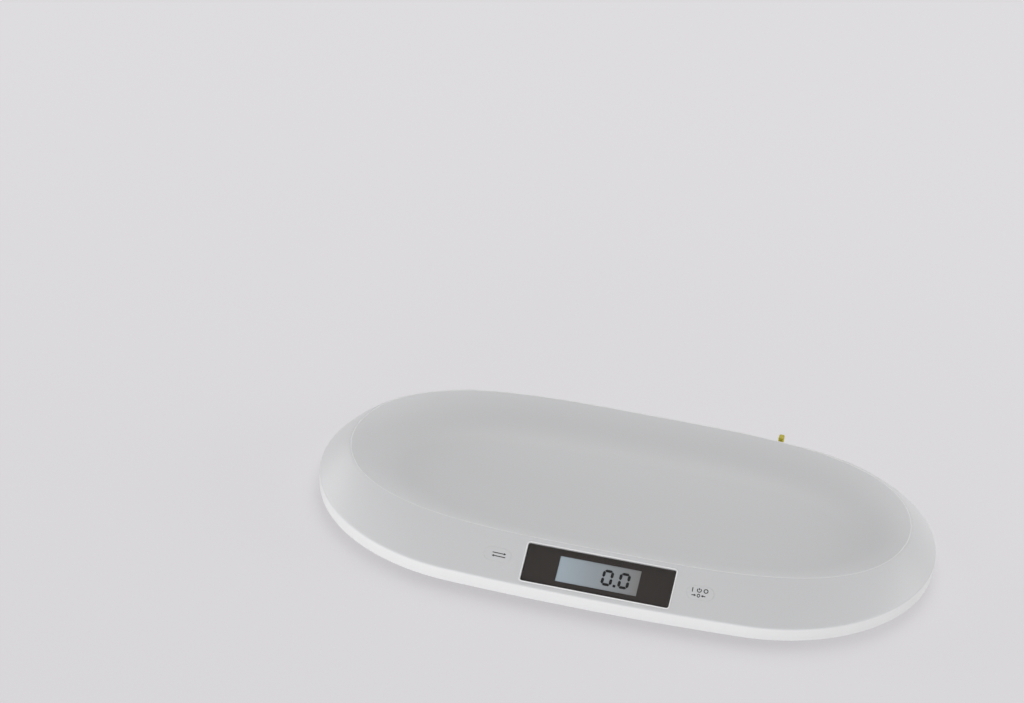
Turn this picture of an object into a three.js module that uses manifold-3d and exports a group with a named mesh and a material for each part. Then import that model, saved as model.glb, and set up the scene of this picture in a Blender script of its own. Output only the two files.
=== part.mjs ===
// Digital baby weighing scale with a built-in measuring tape.
// A long white tray with a shallow basin stands on four weighing feet. The sloping front of its rim
// holds the display and two keys. A flat cassette under the rear of the rim holds the tape.
// Millimetres. X runs along the scale, -Y is the front, +Z is up and the floor is at Z = 0.
import * as THREE from 'three';
import { mergeVertices } from 'three/addons/utils/BufferGeometryUtils.js';
import Module from 'manifold-3d';

const wasm = await Module();
wasm.setup();

// Driving dimensions: the tray
const trayLength = 550;
const trayDepth = 320;
const sideBulge = 4;
const skirtGap = 8;
const skirtHeight = 12;
const skirtDraft = 0.8;
const rimDrop = 26;
const rimWidthEnd = 25;
const rimWidthSide = 40;
const rimCrown = 1.6;
const edgeRadius = 2.5;
const lipRadius = 2;
const basinDepth = 20;
const bowlWidth = 50;
const trayWall = 2.5;
const lipPowers = new THREE.Vector2(3.5, 2.1);

// Driving dimensions: fits
const fitGap = 0.3;
const overrun = 1;

// Driving dimensions: the bottom cover
const coverInset = 0.6;
const coverThickness = 2.2;
const coverWallHeight = 5;
const coverWallThickness = 1.8;
const ribThickness = 1.8;
const wireChannelWidth = 6;
const ribEndRoom = 24;

// Driving dimensions: the display
const panelWidth = 126;
const panelRoom = 5.85;
const panelCorner = 1.5;
const lensSink = 0.7;
const lensThickness = 1.2;
const maskThickness = 0.4;
const ledgeWidth = 4.5;
const ledgeThickness = 2.4;
const panelFrameBorder = 4;
const lcdWidth = 72;
const lcdRoom = 0.5;
const lcdBorderX = 3;
const lcdBorderY = 2.5;
const lcdThickness = 2.2;
const lcdHolderWall = 4;
const zebraWidth = 1.8;
const boardKeyRoom = 12;
const boardInset = 4;
const boardThickness = 1.6;
const chipRadius = 5;
const chipHeight = 1.2;

// Driving dimensions: the keys
const keyPanelRoom = 26;
const keyLength = 24;
const keyHeight = 13;
const keyProud = 0.25;
const keyEdge = 0.5;
const keyTravel = 0.5;
const keySpareTravel = 0.1;
const keyFlangeWidth = 2;
const keyFlangeThickness = 1;
const keyStemRadius = 3.5;
const keyStemReach = 2.4;
const keyBossWall = 1.6;
const sealThickness = 0.8;
const switchSide = 6;
const switchBodyHeight = 3.3;
const switchStemHeight = 1;
const switchStemRadius = 1.7;

// Driving dimensions: the weighing feet
const footEndRoom = 74;
const footSideRoom = 52;
const padRadius = 13;
const padThickness = 2.2;
const cupWall = 2.7;
const cupRim = 1.2;
const cupFloorThickness = 1.4;
const cupFlangeWidth = 2.2;
const cupFlangeThickness = 1;
const cupNoseRadius = 4;
const sensorSide = 38;
const sensorThickness = 1.5;
const sensorSlot = 2.4;
const sensorTongueWidth = 12;
const seatWall = 2;
const clampThickness = 1.5;
const clampWindow = 24;

// Driving dimensions: the screws
const screwHeadRadius = 2.8;
const screwHeadHeight = 1.6;
const screwShankRadius = 1.4;
const screwLength = 11;
const postWall = 1.9;
const screwBossHeight = 1.8;
const screwEndInset = 20.6;
const screwBoardRoom = 17.25;
const screwFootRoom = 20;

// Driving dimensions: the batteries, standard AAA cells
const cellLength = 44.5;
const cellRadius = 5.25;
const cellNubRadius = 1.9;
const cellNubHeight = 0.8;
const cellPitch = 11.2;
const batteryY = 20;
const bayWall = 1.6;
const bayCeiling = 1.5;
const bayEndRoom = 3.25;
const bayCollarWidth = 2.4;
const bayCollarHeight = 1.6;
const contactThickness = 0.4;
const contactWidth = 8;
const contactHeight = 8;
const contactWire = 0.25;
const contactCoilRadius = 3.6;
const contactCoilTip = 1.2;
const contactCoilTurns = 2.5;
const contactBumpRadius = 1.8;
const doorMargin = 1.5;
const doorThickness = 1.8;
const doorGap = 0.35;
const tongueWidth = 8;
const tongueReach = 2.25;
const tongueThickness = 1.2;
const tongueSpacing = 28;
const latchWidth = 9;
const latchThickness = 1.2;
const latchHeight = 3.4;
const latchInset = 0.6;
const fingerLength = 14;
const fingerReach = 5;
const fingerDepth = 1.2;

// Driving dimensions: the measuring tape
const tapeFootRoom = 73;
const tapeWidth = 9;
const tapeThickness = 0.5;
const tapeLength = 228;
const slotWidth = 1.6;
const slotRise = 1.6;
const caseRadius = 19;
const caseWall = 1.4;
const caseFloor = 0.8;
const caseCoverThickness = 1;
const caseInset = 13;
const coilRadius = 15;
const hubRadius = 8;
const hubWall = 1.2;
const reelWeb = 0.8;
const reelBearingRadius = 3.2;
const reelPinRadius = 1.6;
const springThickness = 0.4;
const springTurns = 3;
const tabLength = 8;
const tabWidth = 5;
const tabHeight = 17;
const tabCorner = 1.6;
const tabGrip = 3;

// Driving dimensions: the leads inside the housing
const leadRadius = 1.25;

// Counts that set how finely round forms are faceted
const ringCount = 80;
const quarterSamples = 400;
const filletSteps = 3;
const crownSteps = 2;
const bowlSteps = 6;
const roundSegments = 20;
const smallSegments = 12;

// Levels that follow from the sizes above
const edgeZ = skirtGap + skirtHeight;
const lipZ = edgeZ + rimDrop;
const basinZ = lipZ - basinDepth;
const basinUnderZ = basinZ - trayWall;
const coverBottomZ = skirtGap + coverInset;
const coverTopZ = coverBottomZ + coverThickness;
const halfLength = trayLength / 2;
const halfDepth = trayDepth / 2;

// Sizes that follow from those they fit
const trayEndRadius = halfDepth - sideBulge;
const panelHeight = Math.hypot(rimDrop, rimWidthSide) - 2 * panelRoom;
const lcdHeight = panelHeight - 2 * (ledgeWidth + lcdRoom);
const maskWindowWidth = lcdWidth - 2 * lcdBorderX;
const maskWindowHeight = lcdHeight - 2 * lcdBorderY;
const keySpacing = panelWidth + 2 * keyPanelRoom;
const boardLength = keySpacing + 2 * boardKeyRoom;
const boardHeight = panelHeight - 2 * boardInset;
const cupRadius = padRadius + fitGap + cupWall;
const footX = halfLength - footEndRoom - cupRadius;
const footY = halfDepth - footSideRoom - cupRadius;
const tapeX = footX - tapeFootRoom;

// Materials
const finish = (color, roughness, metalness = 0) => new THREE.MeshStandardMaterial({ color, roughness, metalness });
const paint = {
  tray: () => finish('#f1f1f2', 0.22),
  cover: () => finish('#e9e9ea', 0.45),
  key: () => finish('#eeeeef', 0.3),
  lens: () => new THREE.MeshStandardMaterial({ color: '#dfe6ea', roughness: 0.05, transparent: true, opacity: 0.25 }),
  mask: () => finish('#2b2726', 0.35),
  lcd: () => finish('#a9b7bd', 0.25),
  black: () => finish('#1d1d1f', 0.5),
  board: () => finish('#1f5a38', 0.5),
  rubber: () => finish('#5d5e60', 0.85),
  steel: () => finish('#b9bcc0', 0.3, 1),
  nickel: () => finish('#c9c6be', 0.25, 1),
  cell: () => finish('#3d4654', 0.35, 0.3),
  tape: () => finish('#f0efe8', 0.6),
  tab: () => finish('#c9bd2c', 0.35),
  wire: () => finish('#b8372f', 0.6),
};

// Keeps only the positions, joins the vertices that meet and drops the faces that have no area.
function clean(geometry) {
  const bare = geometry.clone();
  for (const name of Object.keys(bare.attributes)) {
    if (name !== 'position') {
      bare.deleteAttribute(name);
    }
  }
  const merged = mergeVertices(bare);
  const corners = merged.index.array;
  const kept = [];
  for (let i = 0; i < corners.length; i += 3) {
    const [a, b, c] = corners.slice(i, i + 3);
    if (a !== b && b !== c && c !== a) {
      kept.push(a, b, c);
    }
  }
  merged.setIndex(kept);
  return merged;
}

function solidOf(geometry) {
  const merged = clean(geometry);
  return new wasm.Manifold(new wasm.Mesh({
    numProp: 3,
    vertProperties: new Float32Array(merged.attributes.position.array),
    triVerts: new Uint32Array(merged.index.array),
  }));
}

function geometryOf(solid) {
  const mesh = solid.getMesh();
  const geometry = new THREE.BufferGeometry();
  geometry.setAttribute('position', new THREE.BufferAttribute(new Float32Array(mesh.vertProperties), 3));
  geometry.setIndex(new THREE.BufferAttribute(new Uint32Array(mesh.triVerts), 1));
  return geometry;
}

// A body with pieces joined on and then pieces cut away.
function shaped(body, joins, cuts = []) {
  let solid = solidOf(body);
  for (const piece of joins) {
    solid = solid.add(solidOf(piece));
  }
  for (const piece of cuts) {
    solid = solid.subtract(solidOf(piece));
  }
  return geometryOf(solid);
}

// A box given by its lowest and highest corner.
function block(low, high) {
  const size = high.map((value, axis) => value - low[axis]);
  const centre = high.map((value, axis) => (value + low[axis]) / 2);
  return new THREE.BoxGeometry(...size).translate(...centre);
}

// A round bar that stands on bottom and ends at top.
function bar(radius, x, y, bottom, top, segments = smallSegments) {
  const geometry = new THREE.CylinderGeometry(radius, radius, top - bottom, segments).rotateX(Math.PI / 2);
  return geometry.translate(x, y, (top + bottom) / 2);
}

// An outline pulled straight up from bottom to top.
function prism(outline, bottom, top, holes = []) {
  const shape = new THREE.Shape(outline);
  shape.holes = holes.map((points) => new THREE.Path(points));
  const depth = top - bottom;
  return new THREE.ExtrudeGeometry(shape, { depth, bevelEnabled: false }).translate(0, 0, bottom);
}

// A rectangle whose corners are quarter circles; equal corner and half height give a pill.
function rounded(width, height, corner, steps = 3, centre = new THREE.Vector2()) {
  const points = [];
  const quarters = [[1, 1], [-1, 1], [-1, -1], [1, -1]];
  quarters.forEach(([sx, sy], quarter) => {
    for (let i = 0; i <= steps; i += 1) {
      const angle = (quarter + i / steps) * Math.PI / 2;
      const x = sx * (width / 2 - corner) + corner * Math.cos(angle);
      const y = sy * (height / 2 - corner) + corner * Math.sin(angle);
      points.push(new THREE.Vector2(x, y).add(centre));
    }
  });
  return points;
}

function circle(radius, x, y, segments = smallSegments) {
  const points = [];
  for (let i = 0; i < segments; i += 1) {
    const angle = (i / segments) * 2 * Math.PI;
    points.push(new THREE.Vector2(x + radius * Math.cos(angle), y + radius * Math.sin(angle)));
  }
  return points;
}

// The radius of the long side's arc on an oval of four arcs whose ends have the given radius.
function sideRadiusOf(length, depth, endRadius) {
  const endCentre = length - endRadius;
  return (endCentre ** 2 + depth ** 2 - endRadius ** 2) / (2 * (depth - endRadius));
}

// A quarter of an oval of four arcs, from the end on +X to the middle of the long side on +Y.
function ovalQuarter(length, depth, endRadius) {
  const sideRadius = sideRadiusOf(length, depth, endRadius);
  const endCentre = length - endRadius;
  const join = Math.atan2(sideRadius - depth, endCentre);
  const points = [];
  for (let i = 0; i <= quarterSamples; i += 1) {
    const angle = (i / quarterSamples) * join;
    points.push(new THREE.Vector2(endCentre + endRadius * Math.cos(angle), endRadius * Math.sin(angle)));
  }
  for (let i = 1; i <= quarterSamples; i += 1) {
    const angle = join + (i / quarterSamples) * (Math.PI / 2 - join);
    points.push(new THREE.Vector2(sideRadius * Math.cos(angle), depth - sideRadius + sideRadius * Math.sin(angle)));
  }
  return points;
}

// A quarter of the curve |x / length| ** powers.x + |y / depth| ** powers.y = 1.
function softQuarter(length, depth, powers) {
  const points = [];
  for (let i = 0; i <= quarterSamples; i += 1) {
    const angle = (i / quarterSamples) * Math.PI / 2;
    const x = length * Math.max(Math.cos(angle), 0) ** (2 / powers.x);
    const y = depth * Math.sin(angle) ** (2 / powers.y);
    points.push(new THREE.Vector2(x, y));
  }
  return points;
}

// A full ring of ringCount points spaced evenly along the outline of four mirrored quarters.
function ringOf(quarter) {
  const lengths = [0];
  for (let i = 1; i < quarter.length; i += 1) {
    lengths.push(lengths[i - 1] + quarter[i].distanceTo(quarter[i - 1]));
  }
  const total = lengths.at(-1);
  const count = ringCount / 4;
  const spaced = [];
  for (let i = 0; i <= count; i += 1) {
    const target = (i / count) * total;
    const after = Math.max(1, lengths.findIndex((length) => length >= target - total * Number.EPSILON * quarter.length));
    const share = (target - lengths[after - 1]) / (lengths[after] - lengths[after - 1]);
    spaced.push(quarter[after - 1].clone().lerp(quarter[after], share));
  }
  const ring = [];
  for (let k = 0; k < ringCount; k += 1) {
    const turn = Math.floor(k / count);
    const step = k % count;
    const point = spaced[turn % 2 === 0 ? step : count - step];
    const sx = turn === 0 || turn === 3 ? 1 : -1;
    const sy = turn < 2 ? 1 : -1;
    ring.push(new THREE.Vector2(sx * point.x, sy * point.y));
  }
  return ring;
}

const outerRing = ringOf(ovalQuarter(halfLength, halfDepth, trayEndRadius));
const lipRing = ringOf(softQuarter(halfLength - rimWidthEnd, halfDepth - rimWidthSide, lipPowers));
const floorRing = ringOf(softQuarter(
  halfLength - rimWidthEnd - bowlWidth,
  halfDepth - rimWidthSide - bowlWidth,
  lipPowers,
));

// The outline of the tray drawn in by a distance, as a ring of points.
const insetRing = (inset) => ringOf(ovalQuarter(halfLength - inset, halfDepth - inset, trayEndRadius - inset));

// A corner of a profile rounded by an arc that touches both of its sides.
function fillet(before, corner, after, radius) {
  const to = before.clone().sub(corner).normalize();
  const from = after.clone().sub(corner).normalize();
  const half = Math.acos(THREE.MathUtils.clamp(to.dot(from), -1, 1)) / 2;
  const reach = Math.min(radius / Math.tan(half), corner.distanceTo(before) / 2, corner.distanceTo(after) / 2);
  const arcRadius = reach * Math.tan(half);
  const centre = corner.clone().add(to.clone().add(from).normalize().multiplyScalar(arcRadius / Math.sin(half)));
  const start = corner.clone().add(to.multiplyScalar(reach)).sub(centre);
  const end = corner.clone().add(from.multiplyScalar(reach)).sub(centre);
  const sweep = Math.atan2(start.x * end.y - start.y * end.x, start.dot(end));
  const points = [];
  for (let i = 0; i <= filletSteps; i += 1) {
    points.push(start.clone().rotateAround(new THREE.Vector2(), sweep * i / filletSteps).add(centre));
  }
  return points;
}

// The crown is full round the ends and fades to nothing along the flat front and back.
function crownAt(k) {
  const flatEnd = (halfLength - trayEndRadius) / halfLength;
  const share = Math.abs(outerRing[k].x) / halfLength;
  return rimCrown * THREE.MathUtils.smoothstep(share, flatEnd, (1 + flatEnd) / 2);
}

// The tray's section at ring place k, as (distance in from the outline, height): its upper and lower side.
function trayProfile(k) {
  const rim = outerRing[k].distanceTo(lipRing[k]);
  const bowl = lipRing[k].distanceTo(floorRing[k]);
  const foot = new THREE.Vector2(skirtDraft, skirtGap);
  const edge = new THREE.Vector2(0, edgeZ);
  const lip = new THREE.Vector2(rim, lipZ);
  const crown = [];
  for (let i = 1; i <= crownSteps; i += 1) {
    const share = i / (crownSteps + 1);
    crown.push(new THREE.Vector2(rim * share, edgeZ + rimDrop * share + crownAt(k) * 4 * share * (1 - share)));
  }
  const dish = [];
  const dishSlopes = [];
  for (let i = 1; i <= bowlSteps; i += 1) {
    const angle = (i / bowlSteps) * Math.PI / 2;
    dish.push(new THREE.Vector2(rim + bowl * i / bowlSteps, lipZ - basinDepth * Math.sin(angle)));
    dishSlopes.push(i === bowlSteps ? 0 : basinDepth * Math.cos(angle) * (Math.PI / 2) / bowl);
  }
  const upper = [
    foot,
    ...fillet(foot, edge, crown[0], edgeRadius),
    ...crown,
    ...fillet(crown.at(-1), lip, dish[0], lipRadius),
    ...dish,
  ];
  const rimSlope = rimDrop / rim;
  const under = (point, slope) => new THREE.Vector2(point.x, point.y - trayWall * Math.hypot(1, slope));
  const lower = [
    new THREE.Vector2(skirtDraft + trayWall, skirtGap),
    under(new THREE.Vector2(trayWall, edgeZ + rimSlope * trayWall), rimSlope),
    ...crown.map((point) => under(point, rimSlope)),
    under(lip, rimSlope),
    ...dish.map((point, i) => under(point, dishSlopes[i])).filter((point, i) => i % 2 === 1),
  ];
  return { upper, lower, rim, bowl };
}

// Carries the section round the outline: the upper side from skirt to basin, then the lower side back out.
function trayShell() {
  const positions = [];
  const triangles = [];
  const profiles = outerRing.map((point, k) => trayProfile(k));
  const place = (k, point) => {
    const { rim, bowl } = profiles[k];
    if (point.x <= rim) {
      return outerRing[k].clone().lerp(lipRing[k], point.x / rim);
    }
    return lipRing[k].clone().lerp(floorRing[k], (point.x - rim) / bowl);
  };
  const addRing = (side, station) => {
    const start = positions.length / 3;
    for (let k = 0; k < ringCount; k += 1) {
      const point = profiles[k][side][station];
      const plan = place(k, point);
      positions.push(plan.x, plan.y, point.y);
    }
    return start;
  };
  const band = (from, to) => {
    for (let k = 0; k < ringCount; k += 1) {
      const next = (k + 1) % ringCount;
      triangles.push(from + k, from + next, to + next, from + k, to + next, to + k);
    }
  };
  const upper = profiles[0].upper.map((point, station) => addRing('upper', station));
  const lower = profiles[0].lower.map((point, station) => addRing('lower', station));
  for (let i = 1; i < upper.length; i += 1) {
    band(upper[i - 1], upper[i]);
  }
  for (let i = lower.length - 1; i > 0; i -= 1) {
    band(lower[i], lower[i - 1]);
  }
  band(lower[0], upper[0]);
  const upperCentre = positions.length / 3;
  positions.push(0, 0, basinZ);
  const lowerCentre = positions.length / 3;
  positions.push(0, 0, basinUnderZ);
  for (let k = 0; k < ringCount; k += 1) {
    const next = (k + 1) % ringCount;
    triangles.push(upper.at(-1) + k, upper.at(-1) + next, upperCentre);
    triangles.push(lower.at(-1) + next, lower.at(-1) + k, lowerCentre);
  }
  const geometry = new THREE.BufferGeometry();
  geometry.setAttribute('position', new THREE.Float32BufferAttribute(positions, 3));
  geometry.setIndex(triangles);
  return geometry;
}

// How far the outline and the lip stand from the long axis at a place along the scale.
const outlineYAt = (x) => {
  const sideRadius = sideRadiusOf(halfLength, halfDepth, trayEndRadius);
  const endCentre = halfLength - trayEndRadius;
  const joinX = endCentre * sideRadius / (sideRadius - trayEndRadius);
  if (Math.abs(x) > joinX) {
    return Math.sqrt(trayEndRadius ** 2 - (Math.abs(x) - endCentre) ** 2);
  }
  return halfDepth - sideRadius + Math.sqrt(sideRadius ** 2 - x ** 2);
};
const lipYAt = (x) => {
  const share = (Math.abs(x) / (halfLength - rimWidthEnd)) ** lipPowers.x;
  return (halfDepth - rimWidthSide) * (1 - share) ** (1 / lipPowers.y);
};

// A frame on the front slope: X along the front edge, Y up the slope and Z out of the surface.
function slopeFrame(x) {
  const at = (place, share) => {
    const y = THREE.MathUtils.lerp(outlineYAt(place), lipYAt(place), share);
    return new THREE.Vector3(place, -y, edgeZ + rimDrop * share);
  };
  const along = at(x + overrun, 1 / 2).sub(at(x - overrun, 1 / 2)).normalize();
  const up = at(x, 1).sub(at(x, 0)).normalize();
  const out = along.clone().cross(up).normalize();
  const level = out.clone().cross(along).normalize();
  return new THREE.Matrix4().makeBasis(along, level, out).setPosition(at(x, 1 / 2));
}

const panelFrame = slopeFrame(0);
const keyFrames = { left: slopeFrame(-keySpacing / 2), right: slopeFrame(keySpacing / 2) };

// Depths below the front slope, measured down into the housing
const lensTop = -lensSink;
const lensBottom = lensTop - lensThickness;
const maskTop = lensBottom - fitGap;
const maskBottom = maskTop - maskThickness;
const ledgeTop = maskBottom - fitGap;
const ledgeBottom = ledgeTop - ledgeThickness;
const lcdTop = maskBottom - fitGap;
const lcdBottom = lcdTop - lcdThickness;
const keyFlangeTop = -trayWall - fitGap;
const keyFlangeBottom = keyFlangeTop - keyFlangeThickness;
const keyStemBottom = keyFlangeBottom - keyStemReach;
const sealTop = keyFlangeBottom - keyTravel - keySpareTravel - fitGap;
const keyBossBottom = sealTop + fitGap;
const keySink = -new THREE.Vector3().setFromMatrixPosition(keyFrames.right).applyMatrix4(panelFrame.clone().invert()).z;
const switchTop = keyStemBottom - keyTravel - keySpareTravel;
const boardTop = switchTop - keySink - switchStemHeight - switchBodyHeight - fitGap;

// Feet
const cupBottomZ = padThickness - cupRim + fitGap;
const cupFlangeZ = coverTopZ + fitGap;
const cupTopZ = cupFlangeZ + cupFlangeThickness;
const seatTopZ = cupTopZ + cupFloorThickness;
const sensorZ = seatTopZ + fitGap;
const seatWallTopZ = sensorZ + sensorThickness;
const clampZ = seatWallTopZ + fitGap;
const seatOuter = sensorSide + 2 * (fitGap + seatWall);
const footPlaces = {
  front_left: [-footX, -footY],
  front_right: [footX, -footY],
  rear_left: [-footX, footY],
  rear_right: [footX, footY],
};

// Screws: one under each end, a pair beside the board, a pair by the rear feet and a pair between them.
// The pairs stand at shares of the outline's distance from the long axis.
const middleScrewXShare = 0.16;
const screwYShares = [-0.9055, 0.848, 0.873];
const screwXs = [boardLength / 2 + screwBoardRoom, footX - screwFootRoom, middleScrewXShare * halfLength];
const screwPlaces = [[halfLength - screwEndInset, 0], [screwEndInset - halfLength, 0]];
screwXs.forEach((x, i) => {
  const y = screwYShares[i] * outlineYAt(x);
  screwPlaces.push([x, y], [-x, y]);
});
const screwHoleRadius = screwShankRadius + fitGap;
const screwSinkRadius = screwHeadRadius + fitGap;
const screwHeadZ = coverBottomZ + fitGap;
const screwSinkZ = screwHeadZ + screwHeadHeight + fitGap;
const screwBossTopZ = coverTopZ + screwBossHeight;
const postRadius = screwHoleRadius + postWall;

// Battery bay
const cellZ = coverBottomZ + doorThickness + fitGap + cellRadius;
const bayHalfX = cellLength / 2 + bayEndRoom;
const bayHalfY = cellPitch / 2 + cellRadius + fitGap;
const bayCeilingZ = cellZ + cellRadius + fitGap;
const bayTopZ = bayCeilingZ + bayCeiling;
const doorHalfX = bayHalfX + doorMargin;
const doorHalfY = bayHalfY + doorMargin;
const hingeY = batteryY - doorHalfY;
const hingeZ = coverBottomZ;
const tongueZ = coverTopZ + fitGap;

// Tape
const caseFloorZ = coverTopZ + fitGap;
const reelZ = caseFloorZ + caseFloor + fitGap;
const tapeZ = reelZ;
const tapeTopZ = tapeZ + tapeWidth;
const reelTopZ = tapeTopZ + fitGap;
const caseTopZ = reelTopZ;
const caseCoverZ = caseTopZ + fitGap;
const reelX = tapeX + tapeThickness / 2 + fitGap + coilRadius;
const reelY = outlineYAt(tapeX) - caseInset - caseRadius;
const tabY = outlineYAt(tapeX) + fitGap;
const tapeEndY = tabY + tabGrip;

function topTray() {
  const frameWidth = panelWidth + 2 * panelFrameBorder;
  const frameHeight = panelHeight + 2 * panelFrameBorder;
  const inWall = -trayWall / 2 - lensSink;
  const panelRing = prism(rounded(frameWidth, frameHeight, panelCorner), ledgeBottom, inWall);
  const pocket = prism(
    rounded(panelWidth + 2 * fitGap, panelHeight + 2 * fitGap, panelCorner + fitGap),
    ledgeTop,
    overrun,
  );
  const sight = prism(
    rounded(panelWidth - 2 * ledgeWidth, panelHeight - 2 * ledgeWidth, panelCorner),
    ledgeBottom - overrun,
    overrun,
  );
  const joins = [panelRing.applyMatrix4(panelFrame)];
  const cuts = [pocket.applyMatrix4(panelFrame), sight.applyMatrix4(panelFrame)];
  for (const frame of Object.values(keyFrames)) {
    const inner = keyHeight + 2 * (keyFlangeWidth + fitGap);
    const innerLength = inner + keyLength - keyHeight;
    const boss = prism(
      rounded(innerLength + 2 * keyBossWall, inner + 2 * keyBossWall, inner / 2 + keyBossWall, 4),
      keyBossBottom,
      -trayWall / 2,
    );
    const flangeRoom = prism(rounded(innerLength, inner, inner / 2, 4), keyBossBottom - overrun, -trayWall);
    const hole = prism(
      rounded(keyLength + 2 * fitGap, keyHeight + 2 * fitGap, keyHeight / 2 + fitGap, 5),
      keyBossBottom - overrun,
      overrun,
    );
    joins.push(boss.applyMatrix4(frame));
    cuts.push(flangeRoom.applyMatrix4(frame), hole.applyMatrix4(frame));
  }
  const shell = trayShell();
  const solidShell = solidOf(shell);
  for (const [x, y] of screwPlaces) {
    joins.push(postUnder(solidShell, x, y));
    cuts.push(bar(screwHoleRadius, x, y, screwBossTopZ - overrun, screwHeadZ + screwLength + fitGap, smallSegments));
  }
  const slotLow = tapeZ - fitGap;
  const slotHigh = tapeTopZ + slotRise;
  const rimSlope = rimDrop / (outlineYAt(tapeX) - lipYAt(tapeX));
  const slotDepth = (slotHigh - edgeZ + trayWall * Math.hypot(1, rimSlope)) / rimSlope + overrun;
  const slotInner = outlineYAt(tapeX) - slotDepth;
  const slotReach = outlineYAt(tapeX) + overrun;
  cuts.push(block(
    [tapeX - slotWidth / 2, slotInner, slotLow],
    [tapeX + slotWidth / 2, slotReach, slotHigh],
  ));
  return shaped(shell, joins, cuts);
}

// A screw post: a column whose top follows the slant of the rim and ends inside the tray's wall.
function postUnder(shell, x, y) {
  const column = solidOf(bar(postRadius, x, y, screwBossTopZ + fitGap, lipZ, smallSegments));
  const pieces = column.subtract(shell.translate(0, 0, trayWall / 2)).decompose();
  const heightOf = (piece) => piece.boundingBox().min[2];
  return geometryOf(pieces.reduce((low, piece) => (heightOf(piece) < heightOf(low) ? piece : low)));
}

function bottomCover() {
  const edgeInset = skirtDraft + trayWall + fitGap;
  const plate = prism(insetRing(edgeInset), coverBottomZ, coverTopZ);
  const joins = [];
  const cuts = [];
  joins.push(prism(
    insetRing(edgeInset),
    coverTopZ - overrun,
    coverTopZ + coverWallHeight,
    [insetRing(edgeInset + coverWallThickness)],
  ));
  for (const [x, y] of Object.values(footPlaces)) {
    const centre = new THREE.Vector2(x, y);
    const outer = rounded(seatOuter, seatOuter, seatWall, 2, centre);
    const pocket = rounded(sensorSide + 2 * fitGap, sensorSide + 2 * fitGap, fitGap, 1, centre);
    joins.push(prism(outer, coverTopZ - coverThickness / 2, seatWallTopZ));
    cuts.push(prism(pocket, seatTopZ, seatWallTopZ + overrun));
    cuts.push(bar(cupRadius + cupFlangeWidth + fitGap, x, y, coverTopZ, seatTopZ + overrun, roundSegments));
    cuts.push(bar(cupRadius + fitGap, x, y, coverBottomZ - overrun, coverTopZ + overrun, roundSegments));
  }
  for (const [x, y] of screwPlaces) {
    joins.push(bar(postRadius, x, y, coverTopZ - coverThickness / 2, screwBossTopZ));
    cuts.push(bar(screwHoleRadius, x, y, coverBottomZ - overrun, screwBossTopZ + overrun));
    cuts.push(bar(screwSinkRadius, x, y, coverBottomZ - overrun, screwSinkZ));
  }
  joins.push(...coverRibs());
  cuts.push(...coverChannels());
  joins.push(block(
    [-bayHalfX - bayWall, batteryY - bayHalfY - bayWall, coverTopZ - coverThickness / 2],
    [bayHalfX + bayWall, batteryY + bayHalfY + bayWall, bayTopZ],
  ));
  cuts.push(block(
    [-bayHalfX, batteryY - bayHalfY, coverBottomZ - overrun],
    [bayHalfX, batteryY + bayHalfY, bayCeilingZ],
  ));
  const openX = doorHalfX + doorGap;
  const openY = doorHalfY + doorGap;
  joins.push(block(
    [-openX - bayCollarWidth, batteryY - openY - bayCollarWidth, coverTopZ - coverThickness / 2],
    [openX + bayCollarWidth, batteryY + openY + bayCollarWidth, coverTopZ + bayCollarHeight],
  ));
  cuts.push(block([-openX, batteryY - openY, coverBottomZ - overrun], [openX, batteryY + openY, coverTopZ]));
  const tongueTop = hingeZ + Math.hypot(tongueReach + doorGap, tongueZ + tongueThickness - hingeZ) + fitGap;
  for (const side of [-1, 1]) {
    const x = side * tongueSpacing / 2;
    const half = tongueWidth / 2 + fitGap;
    cuts.push(block(
      [x - half, batteryY - openY - bayCollarWidth - overrun, coverTopZ],
      [x + half, batteryY - bayHalfY + overrun, tongueTop],
    ));
  }
  const latchRoom = latchWidth / 2 + fitGap;
  cuts.push(block(
    [-latchRoom, batteryY + bayHalfY - overrun, coverTopZ],
    [latchRoom, batteryY + bayHalfY + bayWall + overrun, coverBottomZ + doorThickness + latchHeight + overrun],
  ));
  const finger = rounded(fingerLength, 2 * fingerReach, fingerReach, 5, new THREE.Vector2(0, batteryY + openY));
  cuts.push(prism(finger, coverBottomZ - overrun, coverBottomZ + fingerDepth));
  return shaped(plate, joins, cuts);
}

// Ribs that carry the basin's floor: two along the scale and four across it.
function coverRibs() {
  const ribTop = basinUnderZ - fitGap;
  const ribFoot = coverTopZ - coverThickness / 2;
  const half = ribThickness / 2;
  const longY = halfDepth - rimWidthSide - bowlWidth - 2 * ribThickness;
  const longX = footX - seatOuter / 2 - ribEndRoom;
  const crossXShares = [0.2, 0.36];
  const ribs = [];
  for (const side of [-1, 1]) {
    ribs.push(block([-longX, side * longY - half, ribFoot], [longX, side * longY + half, ribTop]));
    for (const share of crossXShares) {
      const x = side * share * halfLength;
      ribs.push(block([x - half, -longY, ribFoot], [x + half, longY, ribTop]));
    }
  }
  return ribs;
}

// Gaps in the ribs for the stored tape and for the battery lead.
function coverChannels() {
  const ribTop = basinUnderZ;
  const half = wireChannelWidth / 2;
  return [
    block([tapeX - half, -halfDepth / 2, coverTopZ], [tapeX + half, halfDepth, ribTop]),
    block([leadX - half, -halfDepth / 2, coverTopZ], [leadX + half, 0, ribTop]),
  ];
}

const leadX = -bayHalfX / 2;

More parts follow.
